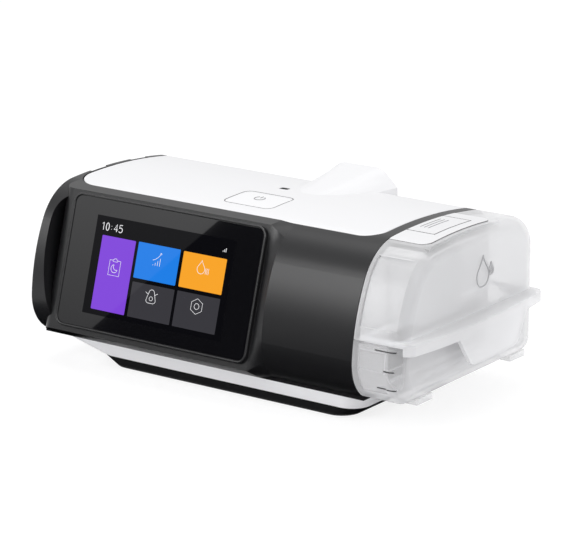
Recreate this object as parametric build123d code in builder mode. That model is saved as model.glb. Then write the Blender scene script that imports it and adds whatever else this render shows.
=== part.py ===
"""Table-top positive-airway-pressure machine with a side-docking water tank.

Millimetres.  +X points to the tank, +Y to the rear, +Z up.  The origin lies on the table, below the
middle of the whole machine.
"""

import math
import os

from build123d import *

os.makedirs("parts", exist_ok=True)

# ---------------------------------------------------------------- driving sizes
# Housing, a rounded section that runs along X
housing_length = 229.0
housing_depth = 141.2
housing_top = 105.5
housing_floor = 16.0
wall = 2.2
crown_front_setback = 39.7
crown_front_drop = 1.1
crown_peak_setback = 78.7
crown_rear_setback = 16.5
crown_rear_drop = 4.0
shoulder_setback = 12.2
shoulder_drop = 19.5
belly_height = 42.0
chin_setback = 12.4
chin_rise = 2.2
rear_shoulder_drop = 20.5
heel_radius = 12.0
side_panel_bulge = 2.5
side_panel_edge_radius = 1.75
screen_stand_out = 2.5
outlet_length = 18.7
grip_reach = 43.5

# Covers and their shadow gaps
shadow_gap = 0.5
cover_front_setback = 33.3
cover_left_rim = 2.6
cover_right_rim = 6.5
cover_left_radius = 20.0
cover_right_radius = 13.0
cover_split_height = 92.0
cover_edge_radius = 1.0
ledge_width = 3.0
ledge_thickness = 1.6
seat_gap = 0.1

# Screen on its tilted facet
screen_tilt = 16.6
glass_from_left = 19.6
screen_height_mid = 64.8
screen_setback = 10.05
glass_width = 136.0
glass_height = 75.6
glass_thickness = 1.6
glass_radius = 4.5
frame_rim = 1.7
frame_proud = 0.6
frame_edge_radius = 0.5
facet_side_margin = 0.8
facet_low_margin = 3.2
facet_high_margin = 1.4
flank_radius = 8.5
flank_depth = 9.0
slit_gap = 0.4
recess_edge = ((14.2, 37.4), (8.4, 33.0), (6.0, 18.2), (7.5, -5.3), (10.0, -22.0), (14.5, -39.1))
blend_run = 10.0
blend_top_share = 0.25
blend_steps = 3
display_width = 108.0
display_height = 67.0
display_thickness = 3.5
board_thickness = 1.6
fit_gap = 0.3

# Bottom tray, base plate and feet
tray_height = 9.1
tray_top_left_inset = 9.0
tray_top_right_inset = 3.0
tray_top_front_inset = 12.9
tray_top_rear_inset = 5.0
tray_bottom_left_inset = 34.0
tray_bottom_right_inset = 7.5
tray_bottom_front_inset = 17.7
tray_bottom_rear_inset = 9.5
tray_radius = 12.0
base_height = 5.9
base_bottom_left_inset = 43.0
base_bottom_right_inset = 15.0
base_bottom_front_inset = 18.7
base_bottom_rear_inset = 12.0
foot_radius = 8.0
foot_height = 1.0
foot_recess = 0.8
foot_inset = 16.0

# Power button and status window on the top cover
button_length = 35.0
button_width = 27.0
button_radius = 5.0
button_from_left = 123.5
button_setback = 59.0
button_travel = 0.8
button_gap = 0.3
button_thickness = 2.0
window_length = 6.0
window_width = 4.4
window_radius = 0.8
window_from_left = 120.0
window_setback = 89.5

# Hump over the air outlet
hump_width = 52.0
hump_top = 111.8
hump_from_left = 139.0
hump_length = 62.0
hump_taper = 7.0
hump_shoulder = 11.0
outlet_radius = 11.0
outlet_bore = 9.0
outlet_height = 91.0
collar_radius = 14.5
collar_length = 3.0

# Water tank, upper lid and lower tub
dock_gap = 0.5
tank_length = 31.5
tank_bottom = 18.6
tank_split = 54.3
tank_wall = 2.2
tank_edge_radius = 9.0
split_gap = 0.3
tongue_length = 60.0
tongue_front_setback = 30.0
tongue_rear_setback = 11.2
tongue_bottom = 20.9
tongue_radius = 8.0
bay_gap = 0.5
bay_wall = 1.6
window_recess = 1.0
seal_width = 2.2
seal_reach = 0.2
seal_height = 2.0
tank_floor_radius = 9.0
tub_window_left = 4.0
tub_window_right = 21.0
tub_window_low = 26.0
tub_window_high = 50.0
lid_window_left = 2.5
lid_window_right = 28.0
lid_window_low = 62.0
lid_window_high = 98.0
tub_foot_length = 14.0
tub_foot_width = 16.0
tub_foot_height = 2.4
tub_foot_side_inset = 10.0
tub_foot_front_inset = 30.0
tub_foot_rear_inset = 13.0
grip_height = 6.5
grip_wall = 2.2
grip_drop = 3.8
grip_side_inset = 1.5
grip_bow = 5.5
grip_corner_radius = 5.0
grip_clearance = 0.8
tab_setback = 80.7
tab_top_width = 74.0
tab_bottom_width = 50.0
tab_drop = 17.5
tab_radius = 9.0

# Lid hinge at the rear
hinge_setback = 5.0
hinge_height = 50.0
hinge_pin_radius = 1.5
hinge_clearance = 0.05
knuckle_radius = 3.8
knuckle_length = 9.0
knuckle_gap = 0.4
ear_length = 6.0

# Release plate and its pressed leaf
plate_length = 25.0
plate_width = 67.0
plate_front_setback = 35.7
plate_radius = 6.0
plate_thickness = 1.5
plate_proud = 0.2
leaf_length = 18.0
leaf_width = 37.0
leaf_front_setback = 53.7
leaf_gap = 0.7
leaf_well = 3.2

# Air path
port_radius = 9.0
supply_setback = 103.7
supply_height = 68.0
return_setback = 51.7
return_height = 77.0
dock_seal_lip = 2.5
duct_radius = 10.0
duct_wall = 1.8
duct_bend_radius = 15.0
duct_climb_run = 34.0
baffle_length = 23.0
baffle_width = 42.0
baffle_height = 36.0
baffle_wall = 1.5

# Intake filter behind the left side panel
filter_length = 50.0
filter_height = 44.0
filter_rear_setback = 17.2
filter_bottom = 36.0
filter_thickness = 6.0
filter_frame_wall = 1.5
filter_bars = 2
door_rim = 4.0
door_slots = 6
door_slot_width = 3.0
side_panel_inset = 2.0
notch_length = 15.0
notch_depth = 3.0
notch_width = 1.6
notch_setbacks = (63.7, 101.7)

# Blower
blower_from_left = 53.0
blower_setback = 72.7
volute_inner = 26.0
volute_outer = 42.0
volute_height = 26.0
volute_wall = 2.0
motor_radius = 19.0
motor_height = 20.0
impeller_radius = 24.0
impeller_height = 9.0
hub_radius = 7.0
shaft_radius = 2.0
shaft_clearance = 0.05
blade_count = 9
blade_thickness = 1.0
blade_sweep = 9.0
running_gap = 1.0
bearing_radius = 5.0
bearing_height = 4.0
nozzle_length = 46.0
nozzle_width = 20.0
mount_radius = 4.0
mount_height = 3.0
bracket_thickness = 2.5
leg_radius = 3.5
leg_gap = 1.0

# Boards, inlet and heater
main_board_length = 80.0
main_board_height = 52.0
main_board_bottom = 24.0
inlet_from_left = 62.0
inlet_height = 36.0
inlet_size = 12.0
inlet_bore = 3.2
inlet_pin = 1.0
inlet_depth = 9.0
switch_board_width = 16.0
switch_size = 6.0
switch_height = 3.5
post_radius = 2.5
heater_length = 44.0
heater_width = 64.0
heater_thickness = 3.0
tank_plate_thickness = 1.0
plate_ledge = 3.0

# ---------------------------------------------------------------- derived places
housing_left = side_panel_bulge - (side_panel_bulge + housing_length + grip_reach) / 2
housing_right = housing_left + housing_length
housing_front = screen_stand_out - (screen_stand_out + housing_depth + outlet_length) / 2
housing_rear = housing_front + housing_depth
crown_front = (housing_front + crown_front_setback, housing_top - crown_front_drop)
crown_peak = (housing_front + crown_peak_setback, housing_top)
crown_rear = (housing_rear - crown_rear_setback, housing_top - crown_rear_drop)
shoulder_end = (housing_front + shoulder_setback, housing_top - shoulder_drop)
belly = (housing_front, belly_height)
chin_end = (housing_front + chin_setback, housing_floor + chin_rise)

tilt = math.radians(screen_tilt)
screen_x = housing_left + glass_from_left + glass_width / 2
glass_plane = Plane(
    origin=(screen_x, housing_front + screen_setback, screen_height_mid),
    x_dir=(1, 0, 0),
    z_dir=(0, -math.cos(tilt), math.sin(tilt)),
)
facet_plane = glass_plane.offset(-glass_thickness)
glass_plane_axis = Axis(glass_plane.origin, glass_plane.z_dir)
facet_low = glass_height / 2 + frame_rim + facet_low_margin
facet_high = glass_height / 2 + frame_rim + facet_high_margin
facet_half_width = glass_width / 2 + frame_rim + facet_side_margin
band_x = housing_left + min(across for across, rise in recess_edge)
facet_right = screen_x + facet_half_width
blend_right = facet_right + blend_run

cover_left = housing_left + cover_left_rim
cover_right = housing_right - cover_right_rim
cover_front = housing_front + cover_front_setback

tank_left = housing_right + dock_gap
tank_right = housing_right + dock_gap + tank_length
tongue_left = tank_left - tongue_length
tongue_front = housing_front + tongue_front_setback
tongue_rear = housing_rear - tongue_rear_setback
tongue_width = tongue_rear - tongue_front
tub_foot_spots = [
    (tank_right - tub_foot_side_inset, housing_front + tub_foot_front_inset),
    (tank_right - tub_foot_side_inset, housing_rear - tub_foot_rear_inset),
]


# ---------------------------------------------------------------- shared sections
with BuildLine() as housing_arcs:
    crown = ThreePointArc(crown_rear, crown_peak, crown_front)
    shoulder = TangentArc(crown @ 1, shoulder_end, tangent=crown % 1)
    front = TangentArc(shoulder @ 1, belly, tangent=shoulder % 1)
    chin = TangentArc(front @ 1, chin_end, tangent=front % 1)


def housing_section(inset=0.0, low=None, high=None):
    """Side section in the YZ plane, shrunk by an inset and kept between two heights."""
    with BuildSketch() as section:
        with BuildLine():
            add(housing_arcs.line)
            lip = Line(chin @ 1, (chin_end[0], housing_floor))
            floor = Line(lip @ 1, (housing_rear - heel_radius, housing_floor))
            heel = TangentArc(floor @ 1, (housing_rear, housing_floor + heel_radius), tangent=(1, 0))
            back = Line(heel @ 1, (housing_rear, housing_top - rear_shoulder_drop))
            TangentArc(crown @ 0, back @ 1, tangent=(crown % 0) * -1)
        make_face()
        if inset:
            offset(amount=-inset)
        if low is not None:
            with Locations((0, low + housing_depth)):
                Rectangle(3 * housing_depth, 2 * housing_depth, mode=Mode.INTERSECT)
        if high is not None:
            with Locations((0, high - housing_depth)):
                Rectangle(3 * housing_depth, 2 * housing_depth, mode=Mode.INTERSECT)
    return section.sketch


def cover_outline(shrink=0.0):
    """Plan outline of the top cover, with its large front corners."""
    left = cover_left + shrink
    right = cover_right - shrink
    front = cover_front + shrink
    rear = housing_rear + housing_depth
    with BuildSketch() as outline:
        with Locations(((left + right) / 2, (front + rear) / 2)):
            Rectangle(right - left, rear - front)
        corners = outline.vertices().group_by(Axis.Y)[0].sort_by(Axis.X)
        fillet(corners[0], cover_left_radius - shrink)
        fillet(outline.vertices().group_by(Axis.Y)[0].sort_by(Axis.X)[-1], cover_right_radius - shrink)
    return outline.sketch


def plan_box(left, right, front, rear, radius):
    """Rounded rectangle in plan, from its four sides."""
    with BuildSketch() as box:
        with Locations(((left + right) / 2, (front + rear) / 2)):
            RectangleRounded(right - left, rear - front, radius)
    return box.sketch


def facet_point(rise):
    """Point (y, z) on the screen facet, at a rise from its middle."""
    return (
        facet_plane.origin.Y + rise * math.sin(tilt),
        facet_plane.origin.Z + rise * math.cos(tilt),
    )


def facet_rise(point):
    """Rise on the screen facet that a point of the side section looks at squarely."""
    return facet_plane.to_local_coords(Vector(facet_plane.origin.X, point.X, point.Y)).Y


def on_facet(edge):
    """Whether an edge lies in the plane of the screen facet."""
    return abs(facet_plane.to_local_coords(edge.center()).Z) < seat_gap


# ---------------------------------------------------------------- housing cavity
with BuildPart() as cavity:
    with BuildSketch(Plane.YZ.offset(housing_left + wall)):
        add(housing_section(wall))
    extrude(amount=housing_length - 2 * wall)
    with BuildSketch(Plane(facet_plane.origin, x_dir=(1, 0, 0), z_dir=facet_plane.y_dir)):
        with BuildLine():
            Polyline(
                (housing_left - screen_x - wall, -housing_depth),
                (housing_left - screen_x - wall, flank_depth + wall),
                (band_x - screen_x + flank_radius + 2 * wall, flank_depth + wall),
                (band_x - screen_x + flank_radius + 2 * wall, wall),
                (facet_half_width + 2 * wall, wall),
                (facet_half_width + 2 * wall + blend_run, wall - blend_run),
                (facet_half_width + 2 * wall + blend_run, -housing_depth),
                close=True,
            )
        make_face()
    extrude(amount=housing_depth, both=True, mode=Mode.SUBTRACT)

with BuildPart() as cover_ledge:
    with BuildSketch(Plane.YZ.offset(housing_left + wall / 2)):
        add(housing_section(wall + seat_gap))
        add(housing_section(wall + seat_gap + ledge_thickness), mode=Mode.SUBTRACT)
    extrude(amount=housing_length - wall)
    with BuildSketch():
        add(cover_outline(-ledge_width))
        add(cover_outline(ledge_width), mode=Mode.SUBTRACT)
    extrude(amount=2 * housing_top, mode=Mode.INTERSECT)
    with BuildSketch(Plane.XY.offset(housing_floor)):
        Rectangle(2 * housing_length, 2 * housing_length)
    extrude(amount=heel_radius, mode=Mode.SUBTRACT)

# ---------------------------------------------------------------- raised block behind the screen
blend_arcs = [
    shoulder.trim(0, blend_top_share),
    shoulder.trim(blend_top_share, 1),
    *[front.trim(step / blend_steps, (step + 1) / blend_steps) for step in range(blend_steps)],
    chin,
]

with BuildSketch() as facet_profile:
    with BuildLine():
        Polyline(
            shoulder @ 0,
            facet_point(facet_high),
            *[facet_point(facet_rise(arc @ 1)) for arc in blend_arcs[1:-1]],
            facet_point(-facet_low),
            (chin_end[0], housing_floor),
            (crown_front[0], housing_floor),
            close=True,
        )
    make_face()

with BuildSketch() as blend_profile:
    with BuildLine():
        add(blend_arcs)
        Polyline(chin @ 1, (chin_end[0], housing_floor), (crown_front[0], housing_floor), shoulder @ 0)
    make_face()

with BuildPart() as screen_block:
    with BuildSketch(Plane.YZ.offset(band_x + slit_gap)):
        add(facet_profile.sketch)
    extrude(amount=facet_right - band_x - slit_gap)
    face_edges = screen_block.edges().filter_by(on_facet)
    fillet(face_edges.filter_by(Axis.X, reverse=True).sort_by(Axis.X)[0], flank_radius)

with BuildPart() as screen_blend:
    with BuildSketch(Plane.YZ.offset(facet_right)):
        add(facet_profile.sketch)
    with BuildSketch(Plane.YZ.offset(blend_right)):
        add(blend_profile.sketch)
    loft(ruled=True)

# recess round the screen, with its curved left edge
with BuildPart() as screen_recess:
    with BuildSketch(facet_plane) as recess_outline:
        with BuildLine():
            recess_points = [(housing_left + across - screen_x, rise) for across, rise in recess_edge]
            recess_side = Spline(recess_points)
            Polyline(
                recess_side @ 1,
                (recess_points[-1][0], -facet_low),
                (facet_half_width + blend_run, -facet_low),
                (facet_half_width + blend_run, facet_high),
                (recess_points[0][0], facet_high),
                recess_side @ 0,
            )
        make_face()
    extrude(amount=-flank_depth)
    extrude(recess_outline.sketch, amount=housing_depth)

# ---------------------------------------------------------------- left side panel and intake filter
filter_rear = housing_rear - filter_rear_setback
filter_front = filter_rear - filter_length
filter_top = filter_bottom + filter_height
filter_mid = ((filter_front + filter_rear) / 2, (filter_bottom + filter_top) / 2)


def left_plane(x):
    """Plane that looks to -X, with Y to its right turned over, so that outlines keep (y, z)."""
    return Plane(origin=(x, 0, 0), x_dir=(0, 1, 0), z_dir=(1, 0, 0))


with BuildPart() as side_panel:
    with BuildSketch(left_plane(housing_left)):
        add(housing_section(side_panel_inset))
    extrude(amount=-side_panel_bulge)
    fillet(side_panel.faces().sort_by(Axis.X)[0].edges(), side_panel_edge_radius)
    with BuildSketch(left_plane(housing_left)):
        with Locations(filter_mid):
            RectangleRounded(filter_length + 2 * door_rim, filter_height + 2 * door_rim, door_rim)
    extrude(amount=-side_panel_bulge, mode=Mode.SUBTRACT)

with BuildPart() as filter_door:
    with BuildSketch(left_plane(housing_left - seat_gap)):
        with Locations(filter_mid):
            RectangleRounded(
                filter_length + 2 * door_rim - 2 * fit_gap,
                filter_height + 2 * door_rim - 2 * fit_gap,
                door_rim - fit_gap,
            )
    extrude(amount=-(side_panel_bulge - seat_gap))
    with BuildSketch(left_plane(housing_left)):
        with Locations(filter_mid):
            with GridLocations(0, filter_height / door_slots, 1, door_slots):
                SlotOverall(filter_length - 2 * door_rim, door_slot_width)
    extrude(amount=-side_panel_bulge, mode=Mode.SUBTRACT)

with BuildPart() as air_filter:
    with BuildSketch(left_plane(housing_left + fit_gap)):
        with Locations(filter_mid):
            Rectangle(filter_length - 2 * fit_gap, filter_height - 2 * fit_gap)
    extrude(amount=filter_thickness)

filter_back = housing_left + fit_gap + filter_thickness + fit_gap

# ---------------------------------------------------------------- black front shell
supply_y = housing_front + supply_setback
return_y = housing_front + return_setback
supply_port = (supply_y, supply_height)
return_port = (return_y, return_height)
seal_radius = port_radius + dock_seal_lip

with BuildPart() as front_shell:
    with BuildSketch(Plane.YZ.offset(housing_left)):
        add(housing_section())
    extrude(amount=housing_length)
    # flat facet for the screen, with a deep flank beside the left band
    add(screen_recess.part, mode=Mode.SUBTRACT)
    add(screen_block.part)
    add(screen_blend.part)
    add(cavity.part, mode=Mode.SUBTRACT)
    # opening for the top and rear covers, and the ledge that carries them
    with BuildSketch(Plane.XY.offset(housing_floor - wall)):
        add(cover_outline())
    extrude(amount=2 * housing_top, mode=Mode.SUBTRACT)
    add(cover_ledge.part)
    # window for the display module
    with BuildSketch(facet_plane):
        Rectangle(display_width + 2 * fit_gap, display_height + 2 * fit_gap)
    extrude(amount=-(wall + flank_depth), mode=Mode.SUBTRACT)
    # tank bay and the two air ports in the right end
    with BuildSketch(Plane.YZ.offset(housing_right - 2 * wall)):
        with Locations(
            ((tongue_front + tongue_rear) / 2, (tongue_bottom + tank_split) / 2),
        ):
            Rectangle(tongue_width + 2 * bay_gap, tank_split - tongue_bottom + 2 * bay_gap)
        with Locations(supply_port, return_port):
            Circle(seal_radius + fit_gap)
    extrude(amount=3 * wall, mode=Mode.SUBTRACT)
    # intake opening in the left end, with the filter's frame behind it
    with BuildSketch(left_plane(housing_left)):
        with Locations(filter_mid):
            Rectangle(filter_length + 2 * filter_frame_wall, filter_height + 2 * filter_frame_wall)
    extrude(amount=filter_back + filter_frame_wall - housing_left)
    with BuildSketch(left_plane(housing_left)):
        with Locations(filter_mid):
            Rectangle(filter_length, filter_height)
    extrude(amount=filter_back - housing_left, mode=Mode.SUBTRACT)
    with BuildSketch(left_plane(housing_left)):
        with Locations(filter_mid):
            with GridLocations(filter_length / (filter_bars + 1), 0, filter_bars + 1, 1):
                Rectangle(filter_length / (filter_bars + 1) - filter_frame_wall, filter_height - door_rim)
    extrude(amount=filter_back + 2 * filter_frame_wall - housing_left, mode=Mode.SUBTRACT)
    # finger notches between the cover and the side panel
    for notch_setback in notch_setbacks:
        with BuildSketch(Plane.XY.offset(housing_top - notch_depth)):
            with Locations((housing_left, housing_front + notch_setback)):
                Rectangle(2 * notch_width, notch_length)
        extrude(amount=2 * notch_depth, mode=Mode.SUBTRACT)

# ---------------------------------------------------------------- screen pieces
with BuildPart() as screen_frame:
    with BuildSketch(facet_plane):
        RectangleRounded(
            glass_width + 2 * frame_rim,
            glass_height + 2 * frame_rim,
            glass_radius + frame_rim,
        )
        RectangleRounded(
            glass_width + 2 * fit_gap,
            glass_height + 2 * fit_gap,
            glass_radius + fit_gap,
            mode=Mode.SUBTRACT,
        )
    extrude(amount=glass_thickness + frame_proud)
    fillet(screen_frame.faces().sort_by(glass_plane_axis)[-1].edges(), frame_edge_radius)

with BuildPart() as screen_glass:
    with BuildSketch(facet_plane):
        RectangleRounded(glass_width, glass_height, glass_radius)
    extrude(amount=glass_thickness)

with BuildPart() as display_module:
    with BuildSketch(facet_plane.offset(-seat_gap)):
        Rectangle(display_width, display_height)
    extrude(amount=-display_thickness)

with BuildPart() as screen_board:
    with BuildSketch(facet_plane.offset(-seat_gap - display_thickness - seat_gap)):
        Rectangle(display_width - 2 * wall, display_height - 2 * wall)
    extrude(amount=-board_thickness)

# ---------------------------------------------------------------- hump, top cover, rear cover
hump_x = housing_left + hump_from_left
hump_plane = Plane(origin=(hump_x, housing_rear, 0), x_dir=(1, 0, 0), z_dir=(0, -1, 0))
cover_thickness = wall - 2 * seat_gap


def hump_section(inset=0.0):
    """Rear outline of the hump, with rounded shoulders."""
    half = hump_width / 2 - inset
    with BuildSketch() as section:
        with BuildLine():
            Polyline(
                (-half, cover_split_height),
                (-half, crown_rear[1]),
                (-half + hump_shoulder, hump_top - inset),
                (half - hump_shoulder, hump_top - inset),
                (half, crown_rear[1]),
                (half, cover_split_height),
                close=True,
            )
        make_face()
        fillet(section.vertices().group_by(Axis.Y)[-1], hump_shoulder)
    return section.sketch


def on_cover_rim(edge):
    """Whether an edge runs round the outer skin of the cover's front, left and right sides."""
    middle = edge.center()
    inside = min(middle.X - cover_left, cover_right - middle.X, middle.Y - cover_front)
    off_skin = housing_arcs.line.distance_to(Vector(middle.Y, middle.Z))
    return inside < cover_left_radius / 2 and off_skin < seat_gap and middle.Z > cover_split_height


button_x = housing_left + button_from_left
button_y = housing_front + button_setback
window_x = housing_left + window_from_left
window_y = housing_front + window_setback
outlet_x = hump_x
outlet_plane = Plane(origin=(outlet_x, housing_rear, outlet_height), x_dir=(1, 0, 0), z_dir=(0, -1, 0))
button_well = housing_top - wall - button_travel
switch_top = button_well - button_thickness - button_travel - seat_gap
switch_board_top = switch_top - switch_height
inlet_x = housing_left + inlet_from_left
inlet_face = Plane(origin=(inlet_x, housing_rear, inlet_height), x_dir=(1, 0, 0), z_dir=(0, -1, 0))
board_rear = housing_rear - seat_gap - inlet_depth - seat_gap
main_board_plane = Plane(
    origin=(
        inlet_x - inlet_size + main_board_length / 4,
        board_rear,
        main_board_bottom + main_board_height / 2,
    ),
    x_dir=(1, 0, 0),
    z_dir=(0, -1, 0),
)
board_hole_run = main_board_length - 3 * post_radius
board_hole_rise = main_board_height - 3 * post_radius

with BuildPart() as top_cover:
    with BuildSketch(Plane.YZ.offset(cover_left)):
        add(housing_section(low=cover_split_height))
    extrude(amount=cover_right - cover_left)
    with BuildSketch(hump_plane):
        add(hump_section())
    extrude(amount=hump_length, taper=hump_taper)
    with BuildSketch(Plane.YZ.offset(cover_left)):
        add(housing_section(cover_thickness))
    extrude(amount=cover_right - cover_left, mode=Mode.SUBTRACT)
    with BuildSketch(hump_plane.offset(cover_thickness)):
        add(hump_section(cover_thickness))
    extrude(amount=hump_length - 2 * cover_thickness, taper=hump_taper, mode=Mode.SUBTRACT)
    with BuildSketch(Plane.XY.offset(housing_floor)):
        add(cover_outline(shadow_gap))
    extrude(amount=2 * housing_top, mode=Mode.INTERSECT)
    fillet(top_cover.edges().filter_by(on_cover_rim), cover_edge_radius)
    # button well, status window and outlet hole
    with BuildSketch(Plane.XY.offset(housing_floor)):
        with Locations((button_x, button_y)):
            RectangleRounded(button_length, button_width, button_radius)
        with Locations((window_x, window_y)):
            RectangleRounded(window_length, window_width, window_radius)
    extrude(amount=2 * housing_top, mode=Mode.SUBTRACT)
    with BuildSketch(outlet_plane):
        Circle(collar_radius + seat_gap)
    extrude(amount=3 * wall, both=True, mode=Mode.SUBTRACT)
    # posts that carry the switch board
    with BuildSketch(Plane.XY.offset(switch_board_top)):
        with Locations((button_x, button_y)):
            with GridLocations(button_length + 2 * post_radius, 0, 2, 1):
                Circle(post_radius - seat_gap)
    extrude(amount=housing_top - wall / 2 - switch_board_top)

with BuildPart() as rear_cover:
    with BuildSketch(Plane.YZ.offset(cover_left + shadow_gap)):
        add(housing_section(high=cover_split_height - shadow_gap))
        add(housing_section(cover_thickness), mode=Mode.SUBTRACT)
    extrude(amount=cover_right - cover_left - 2 * shadow_gap)
    with BuildSketch():
        with Locations(((cover_left + cover_right) / 2, housing_rear)):
            Rectangle(2 * housing_length, 2 * (heel_radius + 2 * wall))
    extrude(amount=2 * housing_top, mode=Mode.INTERSECT)
    with BuildSketch(outlet_plane):
        Circle(collar_radius + seat_gap)
    extrude(amount=3 * wall, both=True, mode=Mode.SUBTRACT)
    with BuildSketch(inlet_face):
        Rectangle(inlet_size + 2 * fit_gap, inlet_size + 2 * fit_gap)
    extrude(amount=2 * wall, both=True, mode=Mode.SUBTRACT)
    # posts that carry the main board
    with BuildSketch(main_board_plane):
        with GridLocations(board_hole_run, board_hole_rise, 2, 2):
            Circle(post_radius)
    extrude(amount=board_rear + wall / 2 - housing_rear)

# ---------------------------------------------------------------- power button, switch and window
with BuildPart() as power_button:
    with BuildSketch(Plane.YZ.offset(button_x - button_length)):
        add(housing_section(seat_gap, low=button_well))
    extrude(amount=2 * button_length)
    with BuildSketch(Plane.XY.offset(housing_floor)):
        with Locations((button_x, button_y)):
            RectangleRounded(
                button_length - 2 * button_gap, button_width - 2 * button_gap, button_radius - button_gap
            )
    extrude(amount=2 * housing_top, mode=Mode.INTERSECT)
    with BuildSketch(Plane.XY.offset(button_well)):
        with Locations((button_x, button_y)):
            Circle(post_radius)
    extrude(amount=-button_thickness)

with BuildPart() as power_switch:
    with BuildSketch(Plane.XY.offset(switch_board_top)):
        with Locations((button_x, button_y)):
            Rectangle(switch_size, switch_size)
    extrude(amount=switch_height - switch_size / 6)
    with BuildSketch(Plane.XY.offset(switch_board_top)):
        with Locations((button_x, button_y)):
            Circle(switch_size / 4)
    extrude(amount=switch_height)
    with BuildSketch(Plane.XY.offset(switch_board_top)):
        with Locations((button_x, button_y)):
            Rectangle(button_length + 4 * post_radius, switch_board_width)
    extrude(amount=-board_thickness)

with BuildPart() as status_window:
    with BuildSketch(Plane.YZ.offset(window_x - window_length)):
        add(housing_section(seat_gap, low=housing_top - wall - seat_gap))
    extrude(amount=2 * window_length)
    with BuildSketch(Plane.XY.offset(housing_floor)):
        with Locations((window_x, window_y)):
            RectangleRounded(window_length - 2 * seat_gap, window_width - 2 * seat_gap, window_radius)
    extrude(amount=2 * housing_top, mode=Mode.INTERSECT)

# ---------------------------------------------------------------- air outlet and power inlet
with BuildPart() as outlet_port:
    with BuildSketch(outlet_plane.offset(wall)):
        Circle(collar_radius)
    extrude(amount=-(wall + collar_length))
    with BuildSketch(outlet_plane.offset(2 * wall)):
        Circle(outlet_radius)
    extrude(amount=-(2 * wall + outlet_length))
    chamfer(outlet_port.faces().sort_by(Axis.Y)[-1].edges(), wall / 3)
    with BuildSketch(outlet_plane.offset(2 * wall)):
        Circle(outlet_bore)
    extrude(amount=-(3 * wall + outlet_length), mode=Mode.SUBTRACT)

with BuildPart() as power_inlet:
    with BuildSketch(inlet_face.offset(seat_gap)):
        Rectangle(inlet_size, inlet_size)
    extrude(amount=inlet_depth)
    fillet(power_inlet.edges().filter_by(Axis.Y), post_radius / 2)
    with BuildSketch(inlet_face.offset(seat_gap)):
        Circle(inlet_bore)
        Circle(inlet_pin, mode=Mode.SUBTRACT)
    extrude(amount=inlet_depth - wall, mode=Mode.SUBTRACT)

with BuildPart() as main_board:
    with BuildSketch(main_board_plane):
        Rectangle(main_board_length, main_board_height)
        with GridLocations(board_hole_run, board_hole_rise, 2, 2):
            Circle(post_radius / 2, mode=Mode.SUBTRACT)
    extrude(amount=board_thickness)

# ---------------------------------------------------------------- bottom tray, base plate, feet
tray_bottom = housing_floor - tray_height
base_bottom = tray_bottom - base_height


def tray_level(height, left, right, front, rear, shrink=0.0):
    """Rounded plan outline at one height, from its insets to the housing's sides."""
    with BuildSketch(Plane.XY.offset(height)) as level:
        add(
            plan_box(
                housing_left + left + shrink,
                housing_right - right - shrink,
                housing_front + front + shrink,
                housing_rear - rear - shrink,
                tray_radius - shrink,
            )
        )
    return level.sketch


tray_top_insets = (tray_top_left_inset, tray_top_right_inset, tray_top_front_inset, tray_top_rear_inset)
tray_bottom_insets = (
    tray_bottom_left_inset,
    tray_bottom_right_inset,
    tray_bottom_front_inset,
    tray_bottom_rear_inset,
)
base_bottom_insets = (
    base_bottom_left_inset,
    base_bottom_right_inset,
    base_bottom_front_inset,
    base_bottom_rear_inset,
)
foot_spots = [
    (x, y)
    for x in (
        housing_left + base_bottom_left_inset + foot_inset,
        housing_right - base_bottom_right_inset - foot_inset,
    )
    for y in (
        housing_front + base_bottom_front_inset + foot_inset,
        housing_rear - base_bottom_rear_inset - foot_inset,
    )
]

with BuildPart() as bottom_tray:
    add(tray_level(housing_floor, *tray_top_insets))
    add(tray_level(tray_bottom, *tray_bottom_insets))
    loft(ruled=True)
    add(tray_level(housing_floor + wall, *tray_top_insets, shrink=wall))
    add(tray_level(tray_bottom + wall, *tray_bottom_insets, shrink=wall))
    loft(ruled=True, mode=Mode.SUBTRACT)

with BuildPart() as base_plate:
    add(tray_level(tray_bottom, *tray_bottom_insets))
    add(tray_level(base_bottom, *base_bottom_insets))
    loft(ruled=True)
    with BuildSketch(Plane.XY.offset(base_bottom)):
        with Locations(*foot_spots):
            Circle(foot_radius)
    extrude(amount=foot_recess, mode=Mode.SUBTRACT)

with BuildPart() as base_feet:
    with BuildSketch(Plane.XY.offset(base_bottom + foot_recess)):
        with Locations(*foot_spots):
            Circle(foot_radius - seat_gap)
    extrude(amount=-(foot_recess + foot_height))
    fillet(base_feet.faces().group_by(Axis.Z)[0].edges(), foot_height / 2)

# ---------------------------------------------------------------- tank bay, heater and dock seals
bay_left = tongue_left - bay_gap
bay_front = tongue_front - bay_gap
bay_rear = tongue_rear + bay_gap
bay_floor = tongue_bottom - bay_gap
bay_top = tank_split + bay_gap
bay_mid_y = (bay_front + bay_rear) / 2
heater_x = tongue_left + (tongue_length - wall) / 2
leg_reach = heater_width / 2 + leg_gap + leg_radius
leg_spots = [
    (x, y)
    for x in (bay_left + leg_radius, housing_right - tray_bottom_right_inset - tray_radius)
    for y in (bay_mid_y - leg_reach, bay_mid_y + leg_reach)
]
tray_floor = tray_bottom + wall

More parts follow.
